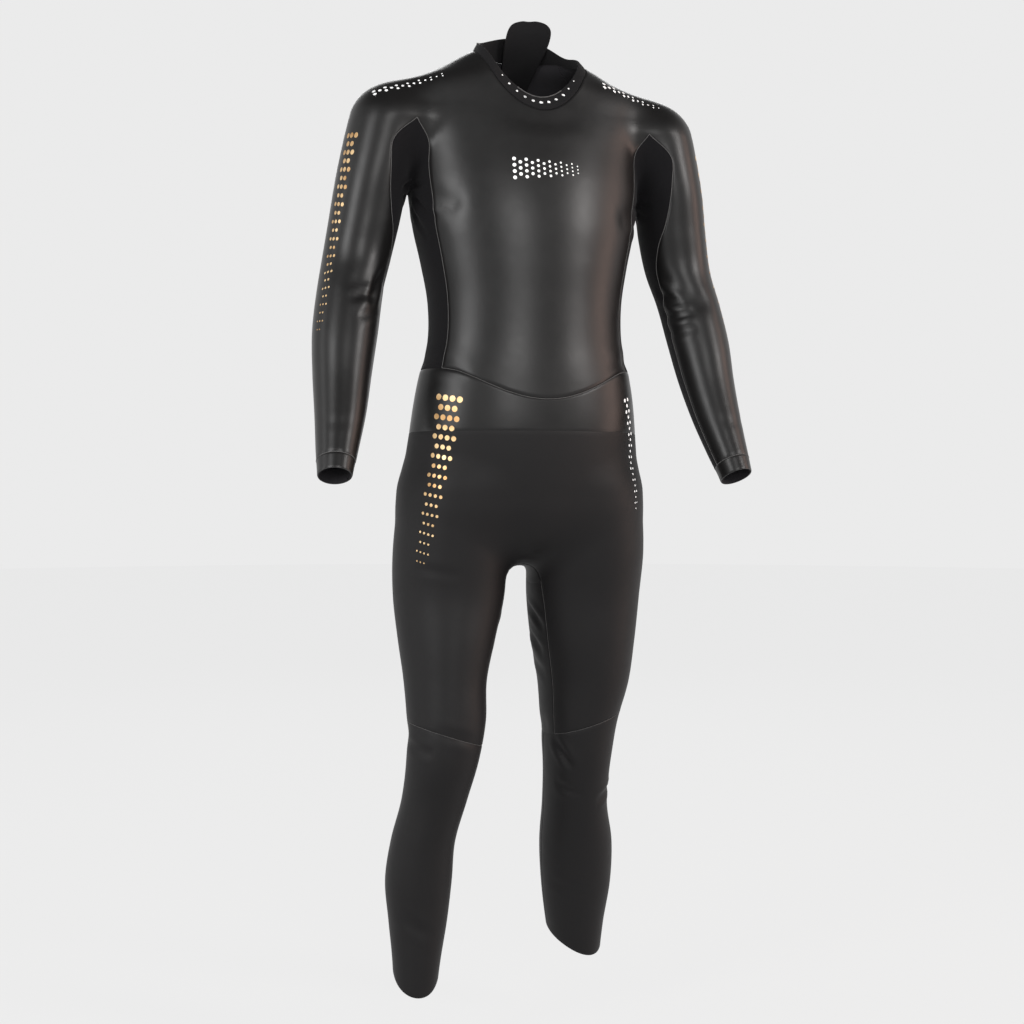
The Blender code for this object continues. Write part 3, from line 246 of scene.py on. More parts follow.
def form(p):
    """How far the points lie outside the suit's form, roughly in metres."""
    drop = SLUMP_CURVE(p[:, 0]) * ease(np.clip(1 - p[:, 2] / SLUMP_END, 0, 1))
    raised = p + drop[:, None] * (0, 0, 1)
    arms = np.minimum(ARM_TUBES[1].distance(p), ARM_TUBES[-1].distance(p))
    legs = smooth_union(LEG_TUBES[1].distance(p), LEG_TUBES[-1].distance(p), CROTCH_BLEND)
    blend = np.interp(p[:, 2], [ARMPIT_BLEND_Z, SHOULDER_BLEND_Z], [ARMPIT_BLEND, SHOULDER_BLEND])
    body = smooth_union(TRUNK_TUBE.distance(raised), arms, blend)
    return smooth_union(body, legs, CROTCH_BLEND)


def slope_of_form(p):
    """The gradient of the form at the points."""
    steps = SLOPE_STEP * np.eye(3)
    return np.stack([(form(p + step) - form(p - step)) / (2 * SLOPE_STEP) for step in steps], axis=-1)


def onto_form(p, rounds=12):
    """The points moved onto the form."""
    for _ in range(rounds):
        slope = slope_of_form(p)
        move = (form(p) / (slope**2).sum(1))[:, None] * slope
        length = np.linalg.norm(move, axis=1, keepdims=True)
        p = p - move * np.minimum(1, LONGEST_MOVE / np.maximum(length, 1e-9))
    return p


def outward(p):
    """The form's outward normals at the points."""
    slope = slope_of_form(p)
    return slope / np.linalg.norm(slope, axis=1, keepdims=True)


# ---------------------------------------------------------------- creases

# Small creases beyond the frame's folds: a line of points near the form, with the trough's
# half-width and depth. Each runs out towards its ends and has a low lip on either side.
Crease = namedtuple("Crease", "width depth points")
CREASES = [
    # Right armpit, front and behind.
    Crease(0.0042, 0.0040, [(-0.194, -0.016, -0.190), (-0.178, -0.012, -0.185), (-0.160, -0.026, -0.187)]),
    Crease(0.0050, 0.0044, [(-0.192, -0.010, -0.199), (-0.170, -0.012, -0.211), (-0.150, -0.041, -0.236)]),
    Crease(0.0046, 0.0022, [(-0.186, 0.004, -0.216), (-0.168, -0.002, -0.232), (-0.152, -0.020, -0.256)]),
    Crease(0.0050, 0.0026, [(-0.196, 0.040, -0.192), (-0.176, 0.066, -0.200), (-0.160, 0.092, -0.222)]),
    Crease(0.0046, 0.0022, [(-0.190, 0.050, -0.216), (-0.168, 0.072, -0.232), (-0.152, 0.096, -0.262)]),
    # Left armpit.
    Crease(0.0046, 0.0028, [(0.194, -0.014, -0.196), (0.178, -0.012, -0.196), (0.160, -0.030, -0.206)]),
    Crease(0.0050, 0.0030, [(0.190, -0.006, -0.210), (0.168, -0.012, -0.226), (0.148, -0.044, -0.250)]),
    Crease(0.0050, 0.0026, [(0.196, 0.044, -0.196), (0.174, 0.068, -0.210), (0.156, 0.096, -0.236)]),
    # Elbows, in the bend and behind.
    Crease(0.0060, 0.0026, [(-0.219, -0.010, -0.306), (-0.235, -0.027, -0.336), (-0.247, -0.038, -0.366)]),
    Crease(0.0055, 0.0024, [(-0.276, -0.044, -0.357), (-0.259, -0.041, -0.349), (-0.236, -0.028, -0.350)]),
    Crease(0.0060, 0.0018, [(-0.268, -0.044, -0.382), (-0.250, -0.036, -0.376), (-0.234, -0.018, -0.372)]),
    Crease(0.0070, 0.0020, [(-0.300, 0.030, -0.334), (-0.276, 0.058, -0.338), (-0.248, 0.060, -0.330)]),
    Crease(0.0060, 0.0028, [(0.214, 0.014, -0.318), (0.223, -0.011, -0.334), (0.244, -0.034, -0.346)]),
    Crease(0.0055, 0.0026, [(0.221, 0.004, -0.356), (0.234, -0.021, -0.362), (0.256, -0.042, -0.354)]),
    Crease(0.0060, 0.0018, [(0.226, 0.000, -0.384), (0.240, -0.024, -0.386), (0.260, -0.040, -0.380)]),
    Crease(0.0070, 0.0020, [(0.300, 0.028, -0.330), (0.276, 0.060, -0.336), (0.250, 0.058, -0.326)]),
    # Wrists and collar.
    Crease(0.0060, 0.0003, [(-0.320, -0.050, -0.530), (-0.300, -0.080, -0.536), (-0.276, -0.070, -0.530)]),
    Crease(0.0060, 0.0004, [(0.320, -0.046, -0.520), (0.300, -0.078, -0.528), (0.274, -0.066, -0.520)]),
    Crease(0.0110, 0.0005, [(-0.060, -0.070, -0.086), (0.000, -0.078, -0.096), (0.056, -0.072, -0.084)]),
    # Waist and hips.
    Crease(0.0090, 0.0014, [(-0.150, 0.040, -0.436), (-0.142, -0.030, -0.446), (-0.110, -0.074, -0.462)]),
    Crease(0.0090, 0.0014, [(0.150, 0.044, -0.430), (0.142, -0.026, -0.438), (0.100, -0.078, -0.456)]),
    Crease(0.0110, 0.0020, [(-0.090, 0.110, -0.404), (-0.020, 0.116, -0.412), (0.040, 0.114, -0.408)]),
    Crease(0.0100, 0.0016, [(-0.040, 0.114, -0.382), (0.030, 0.114, -0.386), (0.096, 0.104, -0.380)]),
    # Seat and crotch.
    Crease(0.0080, 0.0026, [(-0.040, 0.112, -0.736), (-0.090, 0.136, -0.752), (-0.144, 0.122, -0.748)]),
    Crease(0.0080, 0.0024, [(0.042, 0.114, -0.742), (0.092, 0.140, -0.758), (0.146, 0.126, -0.752)]),
    Crease(0.0070, 0.0018, [(-0.052, 0.110, -0.770), (-0.090, 0.128, -0.782), (-0.124, 0.122, -0.780)]),
    Crease(0.0050, 0.0018, [(-0.016, -0.020, -0.722), (0.002, -0.016, -0.726), (0.020, -0.020, -0.722)]),
    Crease(0.0060, 0.0010, [(-0.177, -0.013, -0.741), (-0.152, -0.038, -0.745), (-0.114, -0.050, -0.752)]),
    # Inner thighs.
    Crease(0.0055, 0.0038, [(0.024, 0.084, -0.800), (0.026, 0.052, -0.815), (0.040, 0.026, -0.838)]),
    Crease(0.0060, 0.0040, [(0.028, 0.092, -0.842), (0.030, 0.062, -0.856), (0.042, 0.036, -0.874)]),
    Crease(0.0070, 0.0020, [(0.034, 0.100, -0.878), (0.038, 0.068, -0.894), (0.050, 0.040, -0.906)]),
    Crease(0.0060, 0.0026, [(-0.030, 0.060, -0.806), (-0.034, 0.030, -0.822), (-0.050, 0.006, -0.836)]),
    Crease(0.0070, 0.0020, [(-0.040, 0.062, -0.852), (-0.044, 0.030, -0.866), (-0.058, 0.006, -0.874)]),
    # Knees, front sides and behind.
    Crease(0.0055, 0.0028, [(-0.186, 0.006, -0.992), (-0.176, -0.034, -1.001), (-0.158, -0.056, -1.006)]),
    Crease(0.0070, 0.0018, [(-0.160, -0.056, -0.972), (-0.120, -0.066, -0.984), (-0.086, -0.040, -0.996)]),
    Crease(0.0070, 0.0026, [(-0.080, 0.052, -0.986), (-0.124, 0.066, -0.992), (-0.172, 0.044, -0.984)]),
    Crease(0.0060, 0.0022, [(-0.090, 0.052, -1.010), (-0.128, 0.058, -1.014), (-0.166, 0.042, -1.012)]),
    Crease(0.0060, 0.0034, [(0.050, 0.034, -1.006), (0.063, 0.018, -1.032), (0.078, 0.010, -1.054)]),
    Crease(0.0060, 0.0026, [(0.058, 0.042, -1.076), (0.076, 0.022, -1.088), (0.096, 0.014, -1.092)]),
    Crease(0.0060, 0.0028, [(0.120, 0.020, -1.108), (0.140, 0.036, -1.096), (0.150, 0.062, -1.088)]),
    Crease(0.0070, 0.0026, [(0.062, 0.118, -1.010), (0.104, 0.132, -1.018), (0.146, 0.110, -1.012)]),
    Crease(0.0060, 0.0022, [(0.066, 0.116, -1.040), (0.100, 0.126, -1.044), (0.136, 0.110, -1.040)]),
    # Calves, towards the hems.
    Crease(0.0070, 0.0012, [(-0.196, 0.000, -1.240), (-0.176, -0.030, -1.262), (-0.150, -0.028, -1.272)]),
    Crease(0.0070, 0.0012, [(0.080, 0.094, -1.236), (0.100, 0.066, -1.252), (0.130, 0.062, -1.262)]),
]
CREASE_REACH = 0.12  # a crease isn't felt farther from its middle than this
LIP_SHARE, LIP_PLACE, LIP_WIDTH = 0.42, 2.0, 0.9  # a lip's height, and its place and width across


def run_distance(p, points):
    """Distance from a run of points, and how far along it from 0 to 1."""
    best = np.full(len(p), 9.0)
    along = np.zeros(len(p))
    count = len(points) - 1
    for i, (a, b) in enumerate(zip(points, points[1:])):
        run = b - a
        t = np.clip((p - a) @ run / (run @ run), 0, 1)
        away = np.linalg.norm(p - a - t[:, None] * run, axis=1)
        nearer = away < best
        best[nearer] = away[nearer]
        along[nearer] = (i + t[nearer]) / count
    return best, along


def rounded_run(points):
    """A run of three points as a soft curve on the form."""
    a, b, c = (np.array(point) for point in points)
    bend = 2 * b - 0.5 * (a + c)
    t = np.linspace(0, 1, 7)[:, None]
    return onto_form((1 - t) ** 2 * a + 2 * t * (1 - t) * bend + t**2 * c)


FOLD_RUNS = [onto_form(np.array([fold.start, fold.stop])) for fold in FOLDS]
CREASE_RUNS = [rounded_run(crease.points) for crease in CREASES]


def sunk_by_frame_folds(p):
    """How far the frame's soft folds draw the cloth in at points of the form."""
    depth = np.zeros(len(p))
    for fold, run in zip(FOLDS, FOLD_RUNS):
        away, _ = run_distance(p, run)
        depth += fold.depth * np.exp(-((away / fold.width) ** 2))
    return depth


def sunk_by_folds(p):
    """How far the folds and creases together draw it in."""
    depth = sunk_by_frame_folds(p)
    for crease, run in zip(CREASES, CREASE_RUNS):
        near = np.linalg.norm(p - run[len(run) // 2], axis=1) < CREASE_REACH
        if not near.any():
            continue
        away, along = run_distance(p[near], run)
        ends = np.sin(np.pi * np.clip(along, 0, 1)) ** 0.7
        across = away / crease.width
        lips = LIP_SHARE * np.exp(-(((across - LIP_PLACE) / LIP_WIDTH) ** 2))
        depth[near] += crease.depth * ends * (np.exp(-(across**2)) - lips)
    return depth


# ---------------------------------------------------------------- materials

LINING_COLOUR = (0.016, 0.015, 0.017, 1)
GOLD_SHADE, WHITE_SHADE = (0.36, 0.20, 0.075), (0.74, 0.74, 0.74)  # the prints' deeper tones
MATERIALS = {}


class Shade:
    """A socket that takes part in Python arithmetic."""

    def __init__(self, surface, socket):
        self.surface, self.socket = surface, socket

    def math(self, operation, *values):
        inputs = dict(enumerate(values))
        return self.surface.node("ShaderNodeMath", {"operation": operation}, inputs)

    def __add__(self, other):
        return self.math("ADD", self, other)

    def __sub__(self, other):
        return self.math("SUBTRACT", self, other)

    def __rsub__(self, other):
        return self.math("SUBTRACT", other, self)

    def __mul__(self, other):
        return self.math("MULTIPLY", self, other)

    def sine(self):
        return self.math("SINE", self)

    __radd__ = __add__
    __rmul__ = __mul__


class Nodes:
    """The nodes of a material or of the surroundings."""

    def __init__(self, tree, coordinates):
        self.tree = tree
        self.point = self.node("ShaderNodeTexCoord", {}, {}, coordinates)

    def node(self, kind, settings, inputs, output=0):
        """Adds a node: its settings first, then the values or links of its sockets."""
        made = self.tree.nodes.new(kind)
        for name, value in settings.items():
            if name == "stops":
                for element, (place, colour) in zip(made.color_ramp.elements, value):
                    element.position, element.color = place, colour
            else:
                setattr(made, name, value)
        for name, value in inputs.items():
            if isinstance(value, Shade):
                self.tree.links.new(value.socket, made.inputs[name])
            else:
                made.inputs[name].default_value = value
        return Shade(self, made.outputs[output])

    def mix(self, share, first, second):
        return self.node("ShaderNodeMix", {"data_type": "RGBA"}, {0: share, 6: first, 7: second}, 2)

    def axis(self, name):
        return self.node("ShaderNodeSeparateXYZ", {}, {0: self.point}, name)


class Surface(Nodes):
    """A material being made."""

    def __init__(self, name):
        self.material = bpy.data.materials.new(name)
        self.material.use_nodes = True
        super().__init__(self.material.node_tree, "Object")
        self.shader = self.tree.nodes["Principled BSDF"]

    def noise(self, scale, detail=3.0, rough=0.55, distortion=0.0):
        values = {"Vector": self.point, "Scale": scale, "Detail": detail}
        values.update({"Roughness": rough, "Distortion": distortion})
        return self.node("ShaderNodeTexNoise", {}, values, "Fac")

    def knit(self, pitch):
        """Fine slanting ribs, broken into loops."""
        turn = 2 * math.pi / pitch
        x, y, z = self.axis("X"), self.axis("Y"), self.axis("Z")
        ribs = ((x - y) * turn).sine()
        return ribs * 0.5 + (z * (0.8 * turn) + ribs * 0.6).sine() * 0.5

    def tones(self, share, colour, low, high):
        """The colour, from darker to lighter."""
        dark = tuple(low * c for c in colour) + (1,)
        light = tuple(high * c for c in colour) + (1,)
        return self.mix(share, dark, light)

    def feed(self, name, value):
        self.tree.links.new(value.socket, self.shader.inputs[name])

    def bump(self, height, strength, distance):
        values = {"Strength": strength, "Distance": distance, "Height": height}
        self.feed("Normal", self.node("ShaderNodeBump", {}, values))

    def set(self, **values):
        for name, value in values.items():
            self.shader.inputs[name.replace("_", " ")].default_value = value


def skin_material(name, colour, roughness, specular):
    """Smooth-skin foam rubber outside, black jersey lining inside."""
    s = Surface(name)
    inside = s.node("ShaderNodeAttribute", {"attribute_name": "inside"}, {}, "Fac")
    cloud, patches = s.noise(9.0, 4.0), s.noise(46.0, 3.0, 0.6, 0.6)
    grain, dimples = s.noise(1400.0, 2.0), s.noise(420.0, 2.0, 0.5)
    skin = s.tones(cloud * 0.65 + patches * 0.35, colour, 0.78, 1.3)
    s.feed("Base Color", s.mix(inside, skin, LINING_COLOUR))
    outer = (cloud - 0.5) * 0.10 + (patches - 0.5) * 0.12 + (grain - 0.5) * 0.05 + roughness
    s.feed("Roughness", inside * (0.9 - roughness) + outer)
    skin_height = grain * 0.12 + dimples * 0.22 + patches * 1.2
    s.bump(skin_height * (1 - inside) + s.knit(0.0011) * inside * 0.5, 0.35, 0.00035)
    s.set(Specular_IOR_Level=specular)
    return s.material


def cloth_material(name, colour, roughness, pitch, sheen):
    """Knitted or woven cloth."""
    s = Surface(name)
    cloud, fuzz = s.noise(14.0, 4.0), s.noise(900.0, 2.0)
    s.feed("Base Color", s.tones(cloud * 0.5 + fuzz * 0.5, colour, 0.8, 1.3))
    s.feed("Roughness", (cloud - 0.5) * 0.08 + roughness)
    s.bump(s.knit(pitch) + fuzz * 0.5, 0.5, 0.00025)
    s.set(Sheen_Weight=sheen, Sheen_Roughness=0.5, Specular_IOR_Level=0.12)
    return s.material


def plastic_material(name, colour, roughness):
    """Moulded plastic, a little scuffed."""
    s = Surface(name)
    scuff, cloud = s.noise(700.0, 4.0, 0.7), s.noise(90.0)
    s.feed("Base Color", s.tones(cloud, colour, 0.85, 1.25))
    s.feed("Roughness", scuff * 0.16 + cloud * 0.08 + (roughness - 0.12))
    s.bump(scuff, 0.25, 0.00006)
    return s.material


def print_material(name, bright, deep, metal, roughness):
    """A heat-set print with a soft change of tone from dot to dot."""
    s = Surface(name)
    flake = s.noise(1600.0, 2.0)
    stops = [(0.36, (*deep, 1)), (0.62, (*bright, 1))]
    s.feed("Base Color", s.node("ShaderNodeValToRGB", {"stops": stops}, {"Fac": s.noise(22.0, 2.0)}))
    s.feed("Roughness", flake * 0.16 + (roughness - 0.08))
    s.bump(flake, 0.2, 0.00004)
    s.set(Metallic=metal)
    return s.material


def make_materials(look):
    """Fills MATERIALS with every finish of the suit."""
    skin, legs = tuple(look.skin_colour), tuple(look.leg_colour)
    MATERIALS["smooth_skin"] = skin_material("smooth_skin_rubber", skin, look.skin_roughness, 0.26)
    MATERIALS["leg_skin"] = skin_material("leg_skin_rubber", legs, look.leg_roughness, 0.18)
    MATERIALS["jersey"] = cloth_material("underarm_jersey", tuple(look.jersey_colour), 0.86, 0.0012, 0.03)
    MATERIALS["collar_cloth"] = cloth_material("collar_jersey", tuple(look.collar_colour), 0.80, 0.0011, 0.05)
    MATERIALS["tape"] = cloth_material("zip_tape_weave", tuple(look.tape_colour), 0.80, 0.0009, 0.1)
    MATERIALS["plastic"] = plastic_material("zip_plastic_black", tuple(look.plastic_colour), 0.42)
    MATERIALS["thread"] = cloth_material("seam_thread", tuple(look.thread_colour), 0.60, 0.0016, 0.1)
    MATERIALS["binding"] = cloth_material("collar_binding", tuple(look.thread_colour), 0.60, 0.0012, 0.1)
    gold, white = tuple(look.gold_colour), tuple(look.white_colour)
    MATERIALS["gold"] = print_material("gold_print", gold, GOLD_SHADE, 0.55, 0.38)
    MATERIALS["white"] = print_material("white_print", white, WHITE_SHADE, 0.0, 0.45)


def give_material(obj, material):
    obj.data.materials.clear()
    obj.data.materials.append(MATERIALS[material])


def finish_piece(obj, material):
    """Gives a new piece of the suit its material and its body."""
    give_material(obj, material)
    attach(obj, "suit")


def link_mesh(name, bm):
    """Turns a bmesh into a linked object, and frees it."""
    mesh = bpy.data.meshes.new(name)
    bm.to_mesh(mesh)
    bm.free()
    obj = bpy.data.objects.new(name, mesh)
    bpy.context.scene.collection.objects.link(obj)
    return obj


# ---------------------------------------------------------------- panels on the form

# Each panel's wall, material slot, and the width, length and area of the cloth that it is cut from.
Panel = namedtuple("Panel", "wall slot width length area")


def pair(name, *cut):
    """The right and the left panel of the same cut."""
    return {f"{name}_{side}": Panel(*cut) for side in ("right", "left")}


PANELS = {
    "front_torso": Panel(0.003, "smooth_skin", 0.42, 0.45, 0.14),
    **pair("back", 0.003, "smooth_skin", 0.19, 0.49, 0.071),
    **pair("sleeve", 0.002, "smooth_skin", 0.34, 0.66, 0.151),
    **pair("underarm", 0.002, "jersey", 0.14, 0.8, 0.0675),
    **pair("cuff", 0.002, "smooth_skin", 0.17, 0.026, 0.0042),
    "waist_band": Panel(0.003, "smooth_skin", 0.88, 0.105, 0.077),
    "legs_front": Panel(0.003, "leg_skin", 0.62, 0.48, 0.262),
    **pair("seat", 0.003, "leg_skin", 0.2, 0.48, 0.076),
    **pair("inner_leg", 0.003, "leg_skin", 0.09, 0.26, 0.0175),
    "crotch_gusset": Panel(0.003, "leg_skin", 0.07, 0.11, 0.0052),
    "lower_leg_right": Panel(0.003, "leg_skin", 0.36, 0.4, 0.112),
    "lower_leg_left": Panel(0.003, "leg_skin", 0.36, 0.4, 0.122),
    **pair("zip_tape", 0.001, "zip_tape_cloth", 0.0125, 0.49, 0.0061),
}
TAPE_SUNK = 0.0008  # the zip's tapes lie this far below the cloth's face
SURFACE_OF_SLOT = {"zip_tape_cloth": "tape"}

# How deep the cloth dips at a hem and a seam, and at seams between these kinds of panel.
HEM_DIP, SEAM_DIP = 0.0005, 0.0006
SEAM_DIPS = {
    frozenset(("sleeve", "front")): 0.0,
    frozenset(("sleeve", "back")): 0.0,
    frozenset(("sleeve",)): 0.0,
    frozenset(("waist", "legs")): 0.0004,
    frozenset(("waist", "front")): 0.0012,
}
NEIGHBOUR_REACH = 0.0022  # a border point as near as this to another panel is on a seam
SEAM_REACH = 0.00017  # how far each panel reaches out to close the seam's gap
SHARP_TURN = math.radians(60)  # a border that turns more than this keeps its corner
MEETING = 0.0026  # panels whose borders are as near as this meet
SHIFT_REACH = 0.026  # how far into a panel the rounding of its border is felt
CORNER_ANGLE = math.radians(48)  # between faces that are shaded apart
EDGE_INSET, EDGE_ROOM, ROOM_REACH = 0.0016, 0.0019, 0.012  # a panel's rim, its room and how far in
BORDERS = {}  # by panel: its border's places
BORDER_SHIFTS = {}  # by panel: places on its border, and how far each shifts to round it


def welded(name):
    """A merged copy of a frame node's mesh."""
    bm = bmesh.new()
    bm.from_mesh(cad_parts[name].data)
    bmesh.ops.remove_doubles(bm, verts=bm.verts, dist=2e-6)
    return bm


def shade_smooth(bm):
    for face in bm.faces:
        face.smooth = True


def points_of(bm):
    return np.array([vert.co[:] for vert in bm.verts])


def make_quads(bm, bend):
    """Joins triangles in pairs where they bend by less than this many degrees."""
    bmesh.ops.join_triangles(
        bm, faces=bm.faces, angle_face_threshold=math.radians(bend), angle_shape_threshold=math.radians(60)
    )


def outer_sheet(name):
    """The outer face of a panel's solid."""
    bm = welded(name)
    p = points_of(bm)
    depth = form(p) + sunk_by_frame_folds(p)
    limit = -0.55 * PANELS[name].wall - (TAPE_SUNK if "tape" in name else 0)
    inner = {vert for vert, d in zip(bm.verts, depth) if d < limit}
    bmesh.ops.delete(bm, geom=[face for face in bm.faces if inner & set(face.verts)], context="FACES")
    bmesh.ops.delete(bm, geom=[vert for vert in bm.verts if not vert.link_faces], context="VERTS")
    make_quads(bm, 50)
    return bm


def border_places(name):
    """Places close together along the border of a panel's outer sheet."""
    bm = outer_sheet(name)
    places = []
    for edge in bm.edges:
        if edge.is_boundary:
            a, b = (vert.co for vert in edge.verts)
            places += [a.lerp(b, i / 12) for i in range(13)]
    bm.free()
    return places


def tree_of(places):
    """A search tree of places."""
    tree = KDTree(len(places))
    for i, place in enumerate(places):
        tree.insert(place, i)
    tree.balance()
    return tree


def chained(edges):
    """Edges put end to end, as runs of points."""
    edges = dict.fromkeys(edges)
    runs = []
    while edges:
        run = list(edges.popitem()[0].verts)
        for _ in range(2):
            while True:
                following = next((edge for edge in run[-1].link_edges if edge in edges), None)
                if following is None:
                    break
                edges.pop(following)
                run.append(following.other_vert(run[-1]))
            run.reverse()
        runs.append(np.array([vert.co[:] for vert in run]))
    return runs


def rounded_border(name, loop):
    """Points along a border's straight sides, and the same points on a smooth curve.

    The curve keeps a corner where the border turns sharply or where three panels meet, so
    that both sides of a seam take one line.
    """
    before, after = loop - np.roll(loop, 1, axis=0), np.roll(loop, -1, axis=0) - loop
    before /= np.linalg.norm(before, axis=1, keepdims=True)
    length = np.linalg.norm(after, axis=1, keepdims=True)
    after = after / length
    corner = (before * after).sum(1) < math.cos(SHARP_TURN)
    for i, place in enumerate(loop):
        others = [tree for other, tree in BORDERS.items() if other != name]
        corner[i] |= sum(tree.find(place)[2] < MEETING for tree in others) > 1
    tangent = before + after
    tangent /= np.linalg.norm(tangent, axis=1, keepdims=True)
    following = np.roll(tangent, -1, axis=0)
    leaving = np.where(corner[:, None], after, tangent)
    arriving = np.where(np.roll(corner, -1)[:, None], after, following)
    start, stop = loop, np.roll(loop, -1, axis=0)
    straight, curved = [], []
    for t in np.linspace(0, 1, 49)[:-1]:
        straight.append(start + t * (stop - start))
        bend = (t**3 - 2 * t**2 + t) * (leaving - after) + (t**3 - t**2) * (arriving - after)
        curved.append(straight[-1] + length * bend)
    return np.concatenate(straight), np.concatenate(curved)


def find_borders():
    """Fills BORDERS and BORDER_SHIFTS for all panels."""
    for name in PANELS:
        BORDERS[name] = tree_of(border_places(name))
    for name in PANELS:
        bm = outer_sheet(name)
        places, shifts = [], []
        for run in chained([edge for edge in bm.edges if edge.is_boundary]):
            straight, curved = rounded_border(name, run[:-1])
            places.append(straight)
            shifts.append(curved - straight)
        bm.free()
        BORDER_SHIFTS[name] = tree_of(np.concatenate(places)), np.concatenate(shifts)


def clear_of_border(name, bm):
    """Moves a fine sheet's inner points off its border, to leave room for the inset."""
    tree, _ = BORDER_SHIFTS[name]
    for vert in bm.verts:
        place, _, away = tree.find(vert.co)
        if not vert.is_boundary and away < ROOM_REACH:
            vert.co += (vert.co - place).normalized() * EDGE_ROOM * (1 - away / ROOM_REACH)


def shifted(name, p):
    """The points of a panel moved with its border where that is rounded."""
    tree, shifts = BORDER_SHIFTS[name]
    moved = p.copy()
    for i, place in enumerate(p):
        _, nearest, away = tree.find(place)
        if away < SHIFT_REACH:
            moved[i] += shifts[nearest] * (1 - away / SHIFT_REACH) ** 2
    return moved


def seam_at(name, place):
    """How far a border point sinks, and whether another panel meets it there."""
    best, other = NEIGHBOUR_REACH, None
    for neighbour, tree in BORDERS.items():
        away = tree.find(place)[2]
        if neighbour != name and away < best:
            best, other = away, neighbour
    if other is None:
        return HEM_DIP, False
    kinds = frozenset((name.split("_")[0], other.split("_")[0]))
    return SEAM_DIPS.get(kinds, SEAM_DIP), True


def make_panel(name, cuts):
    """A fine panel on the suit's form, creased and dipped at its seams, with its wall."""
    panel = PANELS[name]
    bm = outer_sheet(name)
    bmesh.ops.subdivide_edges(bm, edges=bm.edges, cuts=cuts, use_grid_fill=True)
    if "tape" not in name:
        clear_of_border(name, bm)
        bmesh.ops.inset_region(
            bm, faces=bm.faces, use_boundary=True, use_even_offset=True, thickness=EDGE_INSET
        )
    flat_sided = points_of(bm)
    p = onto_form(shifted(name, flat_sided), rounds=3)
    normals = outward(p)
    sunk = sunk_by_folds(p)
    if "tape" in name:
        sunk += TAPE_SUNK
    number = bm.verts.layers.int.new("number")
    inside = bm.verts.layers.float.new("inside")
    reach = np.zeros_like(p)
    for i, vert in enumerate(bm.verts):
        vert[number] = i
    for vert in bm.verts:
        if vert.is_boundary:
            i = vert[number]
            dip, meets = seam_at(name, flat_sided[i])
            sunk[i] += dip
            inner_ends = [edge.other_vert(vert)[number] for edge in vert.link_edges if not edge.is_boundary]
            if meets and inner_ends:
                away = p[i] - p[inner_ends].mean(0)
                reach[i] = SEAM_REACH * away / np.linalg.norm(away)
    p = p + reach
    outer = p - normals * sunk[:, None]
    inner = outer - normals * panel.wall
    lining = bmesh.ops.extrude_face_region(bm, geom=bm.faces[:], use_keep_orig=True)["geom"]
    lining = {vert for vert in lining if isinstance(vert, bmesh.types.BMVert)}
    for vert in bm.verts:
        vert.co = (inner if vert in lining else outer)[vert[number]]
        vert[inside] = float(vert in lining)
    bmesh.ops.recalc_face_normals(bm, faces=bm.faces)
    shade_smooth(bm)
    obj = link_mesh(f"{name}_panel", bm)
    obj.data.set_sharp_from_angle(angle=CORNER_ANGLE)
    finish_piece(obj, SURFACE_OF_SLOT.get(panel.slot, panel.slot))
    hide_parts(name)


# ---------------------------------------------------------------- trim

THREAD_REACH, THREAD_STEP = 0.0012, 0.005  # how near the neighbour a thread runs, and its step
COLUMNS_END = 0.55  # a field's columns draw together to this share of their spacing
DOT_RIM = 0.35  # the width of every dot's rim, by the smallest radius
PRINT_LIFT = 0.00025  # above the cloth's face


def bead(name, runs, radius, material):
    """Round beads along runs of points, as one piece."""
    curve = bpy.data.curves.new(name, "CURVE")
    curve.dimensions = "3D"
    curve.bevel_depth = radius
    curve.bevel_resolution = 1
    curve.use_fill_caps = True
    for run in runs:
        spline = curve.splines.new("POLY")
        spline.points.add(len(run) - 1)
        for point, place in zip(spline.points, run):
            point.co = (*place, 1)
    carrier = bpy.data.objects.new(name, curve)
    mesh = bpy.data.meshes.new_from_object(carrier)
    bpy.data.objects.remove(carrier)
    bpy.data.curves.remove(curve)
    mesh.name = name
    mesh.shade_smooth()
    obj = bpy.data.objects.new(name, mesh)
    bpy.context.scene.collection.objects.link(obj)
    finish_piece(obj, material)


def resampled(run, step):
    """Points along the run, evenly spaced at about this step."""
    lengths = np.linalg.norm(np.diff(run, axis=0), axis=1)
    at = np.concatenate([[0], np.cumsum(lengths)])
    count = max(2, int(at[-1] / step) + 1)
    places = np.linspace(0, at[-1], count)
    return np.stack([np.interp(places, at, run[:, k]) for k in range(3)], axis=-1)


def lay_on_cloth(run, lift):
    """The run laid on the creased cloth, this far above it."""
    p = onto_form(run, rounds=4)
    return p + outward(p) * (lift - sunk_by_folds(p))[:, None]


def seam_bead(name, panel, neighbours, radius, lift=0):
    """A thin raised thread along the seams between a panel and its neighbours."""
    runs = []
    bm = outer_sheet(panel)
    for neighbour in neighbours:
        tree = BORDERS[neighbour]
        edges = [edge for edge in bm.edges if edge.is_boundary]
        edges = [edge for edge in edges if all(tree.find(vert.co)[2] < THREAD_REACH for vert in edge.verts)]
        for run in chained(edges):
            runs.append(lay_on_cloth(shifted(panel, resampled(run, THREAD_STEP)), lift))
    bm.free()
    bead(name, runs, radius, "thread")


